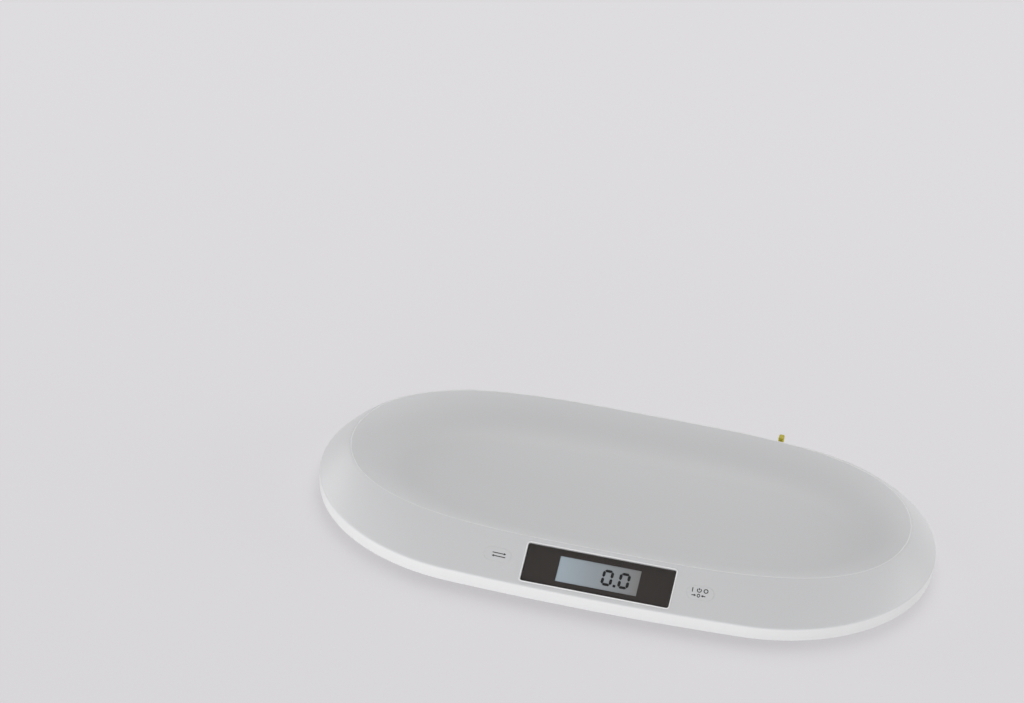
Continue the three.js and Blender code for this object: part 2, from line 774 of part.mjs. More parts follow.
// A pill-shaped key with a soft top edge, a flange that keeps it in its hole and a stem.
function keyBody() {
  const cap = new THREE.ExtrudeGeometry(
    new THREE.Shape(rounded(keyLength - 2 * keyEdge, keyHeight - 2 * keyEdge, keyHeight / 2 - keyEdge, 5)),
    {
      depth: keyProud - keyFlangeBottom - 2 * keyEdge,
      bevelThickness: keyEdge,
      bevelSize: keyEdge,
      bevelSegments: 2,
    },
  ).translate(0, 0, keyFlangeBottom + keyEdge);
  const flangeHeight = keyHeight + 2 * keyFlangeWidth;
  const flangeLength = keyLength + 2 * keyFlangeWidth;
  const flange = prism(rounded(flangeLength, flangeHeight, flangeHeight / 2, 4), keyFlangeBottom, keyFlangeTop);
  const stem = bar(keyStemRadius, 0, 0, keyStemBottom, keyFlangeBottom + keyFlangeThickness / 2);
  return shaped(cap, [flange, stem]);
}

function keySeal() {
  const inner = keyHeight + 2 * (keyFlangeWidth + fitGap + keyBossWall);
  const length = inner + keyLength - keyHeight;
  return prism(rounded(length, inner, inner / 2, 4), sealTop - sealThickness, sealTop, [circle(keyStemRadius + fitGap, 0, 0)]);
}

function tactSwitch() {
  const body = block([-switchSide / 2, -switchSide / 2, 0], [switchSide / 2, switchSide / 2, switchBodyHeight]);
  const top = switchBodyHeight + switchStemHeight;
  return shaped(body, [bar(switchStemRadius, 0, 0, switchBodyHeight / 2, top)]);
}

function lcdHolder() {
  const outerX = lcdWidth / 2 + fitGap + lcdHolderWall;
  const outerY = lcdHeight / 2;
  const innerX = lcdWidth / 2 - lcdHolderWall / 2;
  const innerY = lcdHeight / 2 - lcdHolderWall;
  const bottom = boardTop + fitGap;
  const seat = lcdBottom - fitGap;
  const body = block([-outerX, -outerY, bottom], [outerX, outerY, lcdTop]);
  const glassRoom = block(
    [-lcdWidth / 2 - fitGap, -outerY - overrun, seat],
    [lcdWidth / 2 + fitGap, outerY + overrun, lcdTop + overrun],
  );
  const hollow = block([-innerX, -innerY, bottom - overrun], [innerX, innerY, seat + overrun]);
  return shaped(body, [], [glassRoom, hollow]);
}

// The drop of resin that covers the scale's chip.
function chipDome() {
  const profile = [new THREE.Vector2(0, 0)];
  const steps = 4;
  for (let i = 0; i <= steps; i += 1) {
    const angle = (i / steps) * Math.PI / 2;
    profile.push(new THREE.Vector2(chipRadius * Math.max(Math.cos(angle), 0), chipHeight * Math.sin(angle)));
  }
  return new THREE.LatheGeometry(profile, smallSegments).rotateX(Math.PI / 2);
}

function footCup() {
  const pocketTop = padThickness + fitGap;
  const outer = cupRadius;
  const profile = [
    [0, pocketTop], [padRadius + fitGap, pocketTop], [padRadius + fitGap, cupBottomZ],
    [outer - cupRim / 2, cupBottomZ], [outer, cupBottomZ + cupRim / 2], [outer, cupFlangeZ],
    [outer + cupFlangeWidth, cupFlangeZ], [outer + cupFlangeWidth, cupTopZ], [cupNoseRadius, cupTopZ],
    [cupNoseRadius, seatTopZ], [0, seatTopZ],
  ].map(([r, z]) => new THREE.Vector2(r, z));
  return new THREE.LatheGeometry(profile, roundSegments).rotateX(Math.PI / 2);
}

function footPad() {
  const edge = cupRim / 2;
  const profile = [[0, 0], [padRadius - edge, 0], [padRadius, edge], [padRadius, padThickness], [0, padThickness]]
    .map(([r, z]) => new THREE.Vector2(r, z));
  return new THREE.LatheGeometry(profile, roundSegments).rotateX(Math.PI / 2);
}

// A square steel plate with a U-shaped slot that leaves a tongue for the foot to press.
function loadCell() {
  const half = sensorSide / 2;
  const tongue = sensorTongueWidth / 2;
  const reach = half / 2;
  const slot = [
    [-tongue - sensorSlot, -reach], [tongue + sensorSlot, -reach], [tongue + sensorSlot, reach],
    [tongue, reach], [tongue, sensorSlot - reach], [-tongue, sensorSlot - reach], [-tongue, reach],
    [-tongue - sensorSlot, reach],
  ].map(([x, y]) => new THREE.Vector2(x, y));
  return prism(rounded(sensorSide, sensorSide, seatWall, 2), 0, sensorThickness, [slot]);
}

const sensorClamp = () => prism(
  rounded(seatOuter, seatOuter, seatWall, 2),
  0,
  clampThickness,
  [rounded(clampWindow, clampWindow, seatWall, 2)],
);

function screw() {
  const tip = screwShankRadius;
  const profile = [
    [0, 0], [screwHeadRadius, 0], [screwHeadRadius, screwHeadHeight], [screwShankRadius, screwHeadHeight],
    [screwShankRadius, screwLength - tip], [0, screwLength],
  ].map(([r, z]) => new THREE.Vector2(r, z));
  return new THREE.LatheGeometry(profile, smallSegments).rotateX(Math.PI / 2);
}

// An AAA cell lying along X with its nub on +X.
function batteryCell() {
  const edge = cellNubHeight / 2;
  const can = cellLength - cellNubHeight;
  const profile = [
    [0, 0], [cellRadius - edge, 0], [cellRadius, edge], [cellRadius, can - edge], [cellRadius - edge, can],
    [cellNubRadius, can], [cellNubRadius, cellLength], [0, cellLength],
  ].map(([r, z]) => new THREE.Vector2(r, z));
  return new THREE.LatheGeometry(profile, roundSegments).rotateZ(-Math.PI / 2).translate(-cellLength / 2, 0, 0);
}

// A wire of round section carried along a curve.
function wireAlong(curve, radius, steps, sides) {
  return new THREE.ExtrudeGeometry(new THREE.Shape(circle(radius, 0, 0, sides)), { extrudePath: curve, steps });
}

class Helix extends THREE.Curve {
  constructor(startRadius, endRadius, height, turns) {
    super();
    Object.assign(this, { startRadius, endRadius, height, turns });
  }

  getPoint(share, target = new THREE.Vector3()) {
    const angle = share * this.turns * 2 * Math.PI;
    const radius = THREE.MathUtils.lerp(this.startRadius, this.endRadius, share);
    return target.set(share * this.height, radius * Math.cos(angle), radius * Math.sin(angle));
  }
}

// A contact blade against the bay's end wall, facing +X.
const contactBlade = (width) => block(
  [0, -width / 2, -contactHeight / 2],
  [contactThickness, width / 2, contactHeight / 2],
);

const contactHelix = new Helix(
  contactCoilRadius,
  contactCoilTip,
  bayEndRoom - fitGap - contactThickness - 2 * contactWire - fitGap,
  contactCoilTurns,
);
const contactCoil = () => {
  const steps = contactCoilTurns * 8;
  return wireAlong(contactHelix, contactWire, steps, 5).translate(contactThickness + contactWire / 2, 0, 0);
};

// The least clear gap between the turns of a winding, measured on points of its middle line.
function leastGap(pointAt, turns, thickness) {
  const perTurn = 48;
  const count = Math.round(turns * perTurn);
  const points = Array.from({ length: count + 1 }, (none, i) => pointAt(i / count));
  let least = Infinity;
  points.forEach((point, i) => {
    for (const other of points.slice(i + perTurn / 2)) {
      least = Math.min(least, point.distanceTo(other));
    }
  });
  return least - thickness;
}

function contactBump() {
  const height = bayEndRoom - fitGap - contactThickness - fitGap;
  return new THREE.CylinderGeometry(contactBumpRadius / 2, contactBumpRadius, height, smallSegments)
    .rotateZ(-Math.PI / 2).translate(contactThickness + height / 2 - contactWire / 4, 0, 0);
}

function batteryLink() {
  const blade = contactBlade(cellPitch + contactWidth);
  return shaped(blade, [contactCoil().translate(0, -cellPitch / 2, 0), contactBump().translate(0, cellPitch / 2, 0)]);
}

function batteryDoor() {
  const reachY = 2 * doorHalfY;
  const plate = prism(
    rounded(2 * doorHalfX, reachY, doorGap, 1, new THREE.Vector2(0, doorHalfY)),
    0,
    doorThickness,
  );
  const tongueLow = tongueZ - hingeZ;
  const joins = [];
  for (const side of [-1, 1]) {
    const x = side * tongueSpacing / 2;
    const half = tongueWidth / 2;
    joins.push(block([x - half, doorGap, doorThickness / 2], [x + half, tongueReach, tongueLow + tongueThickness]));
    joins.push(block([x - half, -tongueReach, tongueLow], [x + half, tongueReach, tongueLow + tongueThickness]));
  }
  const latchOuter = reachY - latchInset;
  joins.push(block(
    [-latchWidth / 2, latchOuter - latchThickness, doorThickness / 2],
    [latchWidth / 2, latchOuter, doorThickness + latchHeight],
  ));
  const gripCount = 3;
  const gripPitch = fingerReach / gripCount;
  const cuts = [];
  for (let i = 0; i < gripCount; i += 1) {
    const y = reachY - gripPitch * (i + 1);
    cuts.push(block(
      [-fingerLength / 2, y - gripPitch / 4, -overrun],
      [fingerLength / 2, y + gripPitch / 4, doorThickness / 4],
    ));
  }
  return shaped(plate, joins, cuts);
}

// The outline of the tape cassette: a circle cut straight beside the tape.
function caseOutline(radius) {
  const flat = coilRadius - fitGap / 2;
  const start = Math.acos(flat / radius);
  const points = [];
  for (let i = 0; i <= roundSegments; i += 1) {
    const angle = Math.PI + start + (i / roundSegments) * 2 * (Math.PI - start);
    points.push(new THREE.Vector2(radius * Math.cos(angle), radius * Math.sin(angle)));
  }
  return points;
}

function tapeCase() {
  const floor = prism(caseOutline(caseRadius), 0, caseTopZ - caseFloorZ);
  const inner = bar(caseRadius - caseWall, 0, 0, caseFloor, caseTopZ - caseFloorZ + overrun, roundSegments);
  const pinHole = bar(reelPinRadius + fitGap, 0, 0, -overrun, caseFloor + overrun);
  return shaped(floor, [], [inner, pinHole]);
}

const tapeCaseCover = () => prism(
  caseOutline(caseRadius),
  0,
  caseCoverThickness,
  [circle(reelPinRadius + fitGap, 0, 0)],
);

function tapeReel() {
  const bore = reelPinRadius + fitGap;
  const profile = [
    [bore, 0], [hubRadius, 0], [hubRadius, tapeWidth], [hubRadius - hubWall, tapeWidth],
    [hubRadius - hubWall, reelWeb], [reelBearingRadius, reelWeb], [reelBearingRadius, 2 * reelWeb], [bore, 2 * reelWeb],
    [bore, 0],
  ].map(([r, z]) => new THREE.Vector2(r, z));
  return new THREE.LatheGeometry(profile, roundSegments).rotateX(Math.PI / 2);
}

const tapeCoil = () => prism(
  circle(coilRadius, 0, 0, 2 * roundSegments),
  0,
  tapeWidth,
  [circle(hubRadius + fitGap, 0, 0, roundSegments)],
);

// A flat strip wound as a spiral from the pin out to the hub.
function springPoint(share, offset) {
  const inner = reelBearingRadius + fitGap;
  const outer = hubRadius - hubWall - fitGap - springThickness;
  const radius = THREE.MathUtils.lerp(inner, outer, share) + offset;
  const angle = share * springTurns * 2 * Math.PI;
  return new THREE.Vector2(radius * Math.cos(angle), radius * Math.sin(angle));
}

function returnSpring() {
  const steps = springTurns * smallSegments;
  const outline = [];
  for (let i = 0; i <= steps; i += 1) {
    outline.push(springPoint(i / steps, springThickness));
  }
  for (let i = steps; i >= 0; i -= 1) {
    outline.push(springPoint(i / steps, 0));
  }
  return prism(outline, reelWeb + fitGap, tapeWidth - fitGap);
}

function tapeTab() {
  const body = new THREE.ExtrudeGeometry(
    new THREE.Shape(rounded(tabWidth - tabCorner, tabLength - tabCorner, tabCorner / 2, 3)),
    {
      depth: tabHeight - tabCorner,
      bevelThickness: tabCorner / 2,
      bevelSize: tabCorner / 2,
      bevelSegments: 3,
    },
  ).translate(0, tabLength / 2, (tabCorner - tabHeight) / 2);
  const half = tapeThickness / 2 + fitGap;
  const slot = block([-half, -overrun, -tapeWidth / 2 - fitGap], [half, tabGrip + fitGap, tapeWidth / 2 + fitGap]);
  return shaped(body, [], [slot]);
}

// Routes of the leads, from each weighing foot and from the batteries to the main board.
function leadCurves() {
  const level = (coverTopZ + basinUnderZ) / 2 - leadRadius;
  const boardPoint = (x, y, z) => new THREE.Vector3(x, y, z).applyMatrix4(panelFrame);
  const boardMiddle = boardTop - boardThickness / 2;
  const boardEnd = boardLength / 2 + fitGap;
  const straight = 6 * leadRadius;
  const boardLeadX = boardEnd + straight;
  const seatHalf = seatOuter / 2 + fitGap;
  const seatEdge = footX - seatHalf;
  const curves = {};
  for (const [name, side] of [['left', -1], ['right', 1]]) {
    const frontStart = new THREE.Vector3(side * seatEdge, -footY, level);
    const frontEnd = boardPoint(side * boardEnd, -boardHeight / 4, boardMiddle);
    const frontEndLead = boardPoint(side * boardLeadX, -boardHeight / 4, boardMiddle);
    curves[`sensor_lead_front_${name}`] = [
      frontStart,
      frontStart.clone().add(new THREE.Vector3(-side * straight, 0, 0)),
      frontEndLead,
      frontEnd,
    ];
    const rearStart = new THREE.Vector3(side * footX, footY - seatHalf, level);
    const rearEnd = boardPoint(side * boardEnd, boardHeight / 4, boardMiddle);
    const rearEndLead = boardPoint(side * boardLeadX, boardHeight / 4, boardMiddle);
    const bendX = (share) => side * THREE.MathUtils.lerp(boardLeadX, seatEdge, share);
    // the rear lead rises before it passes over the front one
    const crossing = 3 * leadRadius;
    const bendShares = [[1.23, 0.14, 0], [0.83, -0.25, 0], [0.526, -0.55, 1]];
    curves[`sensor_lead_rear_${name}`] = [
      rearStart,
      rearStart.clone().add(new THREE.Vector3(0, -4 * leadRadius, 0)),
      ...bendShares.map(([x, y, z]) => new THREE.Vector3(bendX(x), y * halfDepth, level + z * crossing)),
      rearEndLead,
      rearEnd,
    ];
  }
  const bayFace = batteryY - bayHalfY - bayWall - fitGap;
  const underBoard = boardTop - boardThickness - fitGap;
  curves.battery_lead = [
    new THREE.Vector3(leadX, bayFace, level),
    new THREE.Vector3(leadX, bayFace - straight, level),
    new THREE.Vector3(leadX, -halfDepth / 2, level),
    boardPoint(leadX, 0, underBoard - 5 * leadRadius),
    boardPoint(leadX, 0, underBoard),
  ];
  return curves;
}

// The assembly
const scale = new THREE.Group();
const add = (parent, name, geometry, material, place = [0, 0, 0]) => {
  const mesh = new THREE.Mesh(clean(geometry), material);
  mesh.name = name;
  mesh.position.set(...place);
  parent.add(mesh);
  return mesh;
};
const framedGroup = (matrix) => {
  const group = new THREE.Group();
  group.applyMatrix4(matrix);
  scale.add(group);
  return group;
};

add(scale, 'top_tray', topTray(), paint.tray());
add(scale, 'bottom_cover', bottomCover(), paint.cover());

const panel = framedGroup(panelFrame);
add(panel, 'display_lens', prism(rounded(panelWidth, panelHeight, panelCorner), lensBottom, lensTop), paint.lens());
add(panel, 'display_mask', prism(
  rounded(panelWidth, panelHeight, panelCorner),
  maskBottom,
  maskTop,
  [rounded(maskWindowWidth, maskWindowHeight, fitGap, 1)],
), paint.mask());
add(panel, 'lcd_glass', block(
  [-lcdWidth / 2, -lcdHeight / 2, lcdBottom],
  [lcdWidth / 2, lcdHeight / 2, lcdTop],
), paint.lcd());
add(panel, 'lcd_holder', lcdHolder(), paint.black());
const zebraTop = lcdBottom - fitGap;
const zebraY = lcdHeight / 2 - lcdHolderWall - fitGap - zebraWidth;
const zebraX = lcdWidth / 2 - lcdHolderWall;
add(panel, 'zebra_strip', block(
  [-zebraX, zebraY, boardTop + fitGap],
  [zebraX, zebraY + zebraWidth, zebraTop],
), paint.rubber());
add(panel, 'main_board', block(
  [-boardLength / 2, -boardHeight / 2, boardTop - boardThickness],
  [boardLength / 2, boardHeight / 2, boardTop],
), paint.board());
add(panel, 'control_chip', chipDome(), paint.black(), [0, 0, boardTop + fitGap]);

for (const [name, side] of [['left', -1], ['right', 1]]) {
  const keyGroup = framedGroup(keyFrames[name]);
  const keyName = name === 'left' ? 'unit' : 'power';
  add(keyGroup, `${keyName}_button`, keyBody(), paint.key());
  add(keyGroup, `${keyName}_seal`, keySeal(), paint.rubber());
  const keyCentre = new THREE.Vector3(0, 0, switchTop).applyMatrix4(keyFrames[name]);
  keyCentre.applyMatrix4(panelFrame.clone().invert());
  add(panel, `${keyName}_switch`, tactSwitch(), paint.black(), [keyCentre.x, keyCentre.y, boardTop + fitGap]);
}

for (const [place, [x, y]] of Object.entries(footPlaces)) {
  add(scale, `foot_pad_${place}`, footPad(), paint.rubber(), [x, y, 0]);
  add(scale, `foot_cup_${place}`, footCup(), paint.cover(), [x, y, 0]);
  add(scale, `load_cell_${place}`, loadCell(), paint.steel(), [x, y, sensorZ]);
  add(scale, `sensor_clamp_${place}`, sensorClamp(), paint.cover(), [x, y, clampZ]);
}

screwPlaces.forEach(([x, y], i) => {
  add(scale, `cover_screw_${i + 1}`, screw(), paint.steel(), [x, y, screwHeadZ]);
});

const bayEnd = bayHalfX - fitGap;
const cellYs = [batteryY - cellPitch / 2, batteryY + cellPitch / 2];
add(scale, 'battery_cell_front', batteryCell(), paint.cell(), [0, cellYs[0], cellZ]);
add(scale, 'battery_cell_rear', batteryCell(), paint.cell(), [0, cellYs[1], cellZ]).rotation.z = Math.PI;
add(scale, 'battery_link', batteryLink(), paint.nickel(), [-bayEnd, batteryY, cellZ]);
const coilTerminal = shaped(contactBlade(contactWidth), [contactCoil()]);
add(scale, 'spring_terminal', coilTerminal, paint.nickel(), [bayEnd, cellYs[1], cellZ]).rotation.z = Math.PI;
const bumpTerminal = shaped(contactBlade(contactWidth), [contactBump()]);
add(scale, 'button_terminal', bumpTerminal, paint.nickel(), [bayEnd, cellYs[0], cellZ]).rotation.z = Math.PI;
add(scale, 'battery_door', batteryDoor(), paint.cover(), [0, hingeY, hingeZ]);

add(scale, 'tape_case', tapeCase(), paint.cover(), [reelX, reelY, caseFloorZ]);
add(scale, 'tape_case_cover', tapeCaseCover(), paint.cover(), [reelX, reelY, caseCoverZ]);
add(scale, 'tape_reel', tapeReel(), paint.black(), [reelX, reelY, reelZ]);
add(scale, 'tape_coil', tapeCoil(), paint.tape(), [reelX, reelY, tapeZ]);
add(scale, 'return_spring', returnSpring(), paint.steel(), [reelX, reelY, reelZ]);
const pinTop = caseCoverZ + caseCoverThickness;
add(scale, 'reel_pin', bar(reelPinRadius, reelX, reelY, caseFloorZ, pinTop), paint.steel());
add(scale, 'tape_blade', block(
  [-tapeThickness / 2, tapeEndY - tapeLength, tapeZ],
  [tapeThickness / 2, tapeEndY, tapeTopZ],
), paint.tape(), [tapeX, 0, 0]);
add(scale, 'tape_tab', tapeTab(), paint.tab(), [tapeX, tabY, (tapeZ + tapeTopZ) / 2]);

for (const [name, points] of Object.entries(leadCurves())) {
  const curve = new THREE.CatmullRomCurve3(points);
  const steps = Math.ceil(curve.getLength() / (6 * leadRadius));
  add(scale, name, wireAlong(curve, leadRadius, steps, 8), paint.wire());
}

const coilGap = leastGap((share) => contactHelix.getPoint(share), contactCoilTurns, 2 * contactWire);
console.log('least gap of the contact coil to itself:', coilGap.toFixed(3), 'mm');
const springGap = leastGap((share) => springPoint(share, springThickness / 2), springTurns, springThickness);
console.log('least gap of the return spring to itself:', springGap.toFixed(3), 'mm');

// The origin stands on the floor under the middle of everything, with the tab counted in.
scale.position.y = (halfDepth - tabY - tabLength) / 2;
const group = new THREE.Group();
group.add(scale);
export default group;
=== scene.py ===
# %% [markdown]
# # A digital baby scale
# The scale is already modelled as exact solids, one for each separate part. They are loaded here as a fixed
# frame. This lesson gives them their looks: smooth surfaces where the solids are made of flats, printed
# marks, and a material for every part. Everything is in metres, with X along the scale and -Y to the front.

# %% Load the frame
import math

import bpy
import numpy as np
from mathutils import Matrix, Vector


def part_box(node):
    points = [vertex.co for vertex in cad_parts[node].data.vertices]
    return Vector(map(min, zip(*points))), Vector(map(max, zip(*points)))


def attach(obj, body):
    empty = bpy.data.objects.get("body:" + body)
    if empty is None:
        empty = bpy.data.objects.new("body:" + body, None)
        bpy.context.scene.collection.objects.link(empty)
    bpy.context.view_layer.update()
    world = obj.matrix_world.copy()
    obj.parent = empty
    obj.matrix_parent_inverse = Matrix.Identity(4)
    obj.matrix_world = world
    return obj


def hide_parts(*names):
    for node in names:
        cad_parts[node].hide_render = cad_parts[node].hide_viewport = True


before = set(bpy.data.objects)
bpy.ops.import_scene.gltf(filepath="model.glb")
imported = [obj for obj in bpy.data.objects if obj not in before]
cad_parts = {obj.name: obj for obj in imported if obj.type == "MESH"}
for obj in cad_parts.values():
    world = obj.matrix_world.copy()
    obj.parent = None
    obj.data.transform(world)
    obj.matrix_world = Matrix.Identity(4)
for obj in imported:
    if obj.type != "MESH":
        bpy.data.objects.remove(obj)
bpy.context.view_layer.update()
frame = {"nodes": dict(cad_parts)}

# %% [markdown]
# ## Sizes that the surfaces share
# A rebuilt surface has to lie where the solid lies, so it starts from the same few sizes. The place of the
# housing along Y is read off the frame, because the tape's tab at the back moves the middle of the whole.

# %% Sizes of the tray
MM = 0.001
HALF_LENGTH = 275 * MM
HALF_DEPTH = 160 * MM
END_RADIUS = 156 * MM
SKIRT_GAP = 8 * MM
SKIRT_HEIGHT = 12 * MM
SKIRT_DRAFT = 0.8 * MM
RIM_DROP = 26 * MM
RIM_WIDTH_END = 25 * MM
RIM_WIDTH_SIDE = 40 * MM
RIM_CROWN = 1.6 * MM
EDGE_RADIUS = 2.5 * MM
LIP_RADIUS = 2 * MM
LIP_POWERS = (3.5, 2.1)
BASIN_DEPTH = 20 * MM
BOWL_WIDTH = 50 * MM
TRAY_WALL = 2.5 * MM
GAP = 0.3 * MM

LIP_LENGTH = HALF_LENGTH - RIM_WIDTH_END
LIP_DEPTH = HALF_DEPTH - RIM_WIDTH_SIDE
EDGE_Z = SKIRT_GAP + SKIRT_HEIGHT
LIP_Z = EDGE_Z + RIM_DROP
BASIN_Z = LIP_Z - BASIN_DEPTH
tray_low, tray_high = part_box("top_tray")
MIDDLE_Y = (tray_low.y + tray_high.y) / 2
print("the housing's middle is at y =", round(MIDDLE_Y / MM, 3), "mm")

# %% [markdown]
# ## Turning arrays into pieces
# A surface is worked out as an array of points, and Blender takes the whole array in one call. Each piece
# then rides on a body of the frame and may stand for some solids.

# %% Helpers that make a piece
pieces = {}


def mesh_object(name, points, faces):
    """An object in the scene whose mesh has those points (x, y, z) and those faces of point numbers."""
    mesh = bpy.data.meshes.new(name)
    mesh.from_pydata(np.asarray(points, float).reshape(-1, 3).tolist(), [], [tuple(face) for face in faces])
    made = bpy.data.objects.new(name, mesh)
    bpy.context.scene.collection.objects.link(made)
    return made


def finish_piece(piece, body, smooth_angle=30, replaces=()):
    """Smooth shading with sharp edges past the angle, a body to ride on, and the solids replaced."""
    piece.data.polygons.foreach_set("use_smooth", np.ones(len(piece.data.polygons), bool))
    piece.data.set_sharp_from_angle(angle=math.radians(smooth_angle))
    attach(piece, body)
    if replaces:
        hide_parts(*replaces)
    pieces[piece.name] = piece
    print(piece.name, "has", len(piece.data.polygons), "faces")


def make_piece(name, points, faces, body, slot, smooth_angle=30, replaces=()):
    """A finished piece straight from points and faces."""
    piece = mesh_object(name, points, faces)
    piece.data.validate()
    finish_piece(piece, body, smooth_angle, replaces)


def grid_faces(rows, columns, close_rows=False):
    """Quads between rows of points that close round: (r, c), (r, c + 1), (r + 1, c + 1), (r + 1, c)."""
    r = np.arange(rows if close_rows else rows - 1)[:, None]
    c = np.arange(columns)[None, :]
    next_row = (r + 1) % rows
    next_column = (c + 1) % columns
    quads = np.stack([r * columns + c, r * columns + next_column, next_row * columns + next_column,
                      next_row * columns + c], axis=-1)
    return quads.reshape(-1, 4).tolist()


def capped_rows(rows, first_tip, last_tip):
    """Points and faces of rows that close round, with a fan of triangles from each end row to its tip."""
    count, steps = rows.shape[:2]
    here = np.arange(steps)
    after = (here + 1) % steps
    tip = np.full(steps, count * steps)
    top = (count - 1) * steps
    first_fan = np.stack([after, here, tip], axis=1).tolist()
    last_fan = np.stack([top + here, top + after, tip + 1], axis=1).tolist()
    points = np.vstack([rows.reshape(-1, 3), [first_tip, last_tip]])
    return points, grid_faces(count, steps) + first_fan + last_fan


# %% [markdown]
# ## The outlines of the tray
# Seen from above, the skirt is an oval of four arcs: two round ends and two long sides that bulge a little.
# The lip and the floor are softer ovals, |x/a|^p + |y/b|^q = 1. Points that are spaced evenly along all three
# can be joined by straight lines from skirt to lip and from lip to floor.

# %% Rings of evenly spaced points
RING = 384
END_CENTRE = HALF_LENGTH - END_RADIUS
# the arc R through a side's middle that touches both ends' arcs: (c^2 + b^2 - r^2) / 2(b - r)
SIDE_RADIUS = (END_CENTRE ** 2 + HALF_DEPTH ** 2 - END_RADIUS ** 2) / (2 * (HALF_DEPTH - END_RADIUS))


def even_ring(curve):
    """RING points at equal distances along a closed curve, by reading its running length backwards."""
    closed = np.vstack([curve, curve[:1]])
    run = np.r_[0, np.cumsum(np.linalg.norm(np.diff(closed, axis=0), axis=1))]
    at = np.linspace(0, run[-1], RING, endpoint=False)
    return np.stack([np.interp(at, run, closed[:, axis]) for axis in range(2)], axis=1)


def mirrored(quarter):
    """A closed curve from the quarter between +X and +Y and its three mirror images."""
    half = np.vstack([quarter, quarter[::-1][1:] * [-1, 1]])
    return np.vstack([half, half[::-1][1:-1] * [1, -1]])


def skirt_oval(samples=1200):
    """Four arcs, each its centre + its radius * (cos t, sin t), that meet where their tangents agree."""
    join = math.atan2(SIDE_RADIUS - HALF_DEPTH, END_CENTRE)
    end = np.linspace(0, join, samples, endpoint=False)
    long = np.linspace(join, math.pi / 2, samples)
    x = np.r_[END_CENTRE + END_RADIUS * np.cos(end), SIDE_RADIUS * np.cos(long)]
    y = np.r_[END_RADIUS * np.sin(end), HALF_DEPTH - SIDE_RADIUS + SIDE_RADIUS * np.sin(long)]
    return mirrored(np.stack([x, y], axis=1))


def soft_oval(length, depth, samples=2400):
    """|x / length| ** p + |y / depth| ** q = 1, traced by x = a cos^(2/p), y = b sin^(2/q)."""
    angle = np.linspace(0, math.pi / 2, samples)
    x = length * np.clip(np.cos(angle), 0, 1) ** (2 / LIP_POWERS[0])
    y = depth * np.sin(angle) ** (2 / LIP_POWERS[1])
    return mirrored(np.stack([x, y], axis=1))


outer_ring = even_ring(skirt_oval())
lip_ring = even_ring(soft_oval(LIP_LENGTH, LIP_DEPTH))
floor_ring = even_ring(soft_oval(LIP_LENGTH - BOWL_WIDTH, LIP_DEPTH - BOWL_WIDTH))
rim_width = np.linalg.norm(outer_ring - lip_ring, axis=1)
bowl_width = np.linalg.norm(lip_ring - floor_ring, axis=1)
print("the rim is", round(rim_width.max() / MM, 1), "mm wide at most")

# %% [markdown]
# ## The tray's skin
# The tray is one moulding. A section swept along the outline could make it, but it would stay the same all
# round. Here the section is a line of (distance in, height): up the skirt, round the edge, up the slope,
# round the lip and down a quarter of a sine into the basin. One whole array holds it for every place on the
# ring, so the round ends can swell a little while the front stays flat for the display.


# %% The tray's section as arrays
def fillet(before, corner, after, radius, steps=9):
    """Each corner rounded by an arc that touches both sides at radius / tan(half the corner's angle).

    All three are arrays of (d, z) points. A side that is too short makes the arc smaller."""
    to = before - corner
    back = after - corner
    to_length = np.linalg.norm(to, axis=1, keepdims=True)
    back_length = np.linalg.norm(back, axis=1, keepdims=True)
    to = to / to_length
    back = back / back_length
    half = np.arccos(np.clip((to * back).sum(1, keepdims=True), -1, 1)) / 2
    reach = np.minimum(radius / np.tan(half), np.minimum(to_length, back_length) / 2)
    arc = reach * np.tan(half)
    middle = to + back
    centre = corner + middle / np.linalg.norm(middle, axis=1, keepdims=True) * arc / np.sin(half)
    first = corner + to * reach - centre
    last = corner + back * reach - centre
    sweep = np.arctan2(first[:, 0] * last[:, 1] - first[:, 1] * last[:, 0], (first * last).sum(1))
    turn = sweep[:, None] * np.linspace(0, 1, steps)[None, :]
    x = first[:, :1] * np.cos(turn) - first[:, 1:] * np.sin(turn)
    y = first[:, :1] * np.sin(turn) + first[:, 1:] * np.cos(turn)
    return np.stack([x, y], axis=2) + centre[:, None, :]


def smoothstep(value, low, high):
    """0 below low, 1 above high and t * t * (3 - 2t) between."""
    t = np.clip((value - low) / (high - low), 0, 1)
    return t * t * (3 - 2 * t)


def section_points(distances, heights):
    """An array of ring x stations x (d, z) from arrays that are broadcast together."""
    return np.stack(np.broadcast_arrays(distances, heights), axis=-1)


CROWN_SHARES = np.linspace(0, 1, 20)[1:-1]
BOWL_SHARES = np.linspace(0, 1, 34)[1:]
# a rounded corner takes the direction of its sides from points so many steps away
SLOPE_STEPS = 5
BOWL_STEPS = 3
flat_end = END_CENTRE / HALF_LENGTH
crown_height = RIM_CROWN * smoothstep(np.abs(outer_ring[:, 0]) / HALF_LENGTH, flat_end, (1 + flat_end) / 2)
crown = section_points(rim_width[:, None] * CROWN_SHARES,
                       EDGE_Z + RIM_DROP * CROWN_SHARES
                       + crown_height[:, None] * 4 * CROWN_SHARES * (1 - CROWN_SHARES))
bowl = section_points(rim_width[:, None] + bowl_width[:, None] * BOWL_SHARES,
                      LIP_Z - BASIN_DEPTH * np.sin(BOWL_SHARES * math.pi / 2))
foot = np.broadcast_to([SKIRT_DRAFT, SKIRT_GAP], (RING, 2))
edge = np.broadcast_to([0.0, EDGE_Z], (RING, 2))
lip = np.stack([rim_width, np.full(RING, LIP_Z)], axis=1)
rounded_edge = fillet(foot, edge, crown[:, SLOPE_STEPS], EDGE_RADIUS)
rounded_lip = fillet(crown[:, -1 - SLOPE_STEPS], lip, bowl[:, BOWL_STEPS], LIP_RADIUS)
slope_start = rounded_edge[:, -1, 0].max()
slope_end = (rim_width - rounded_lip[:, 0, 0]).max()
past_edge = (crown[..., 0] > slope_start).all(0)
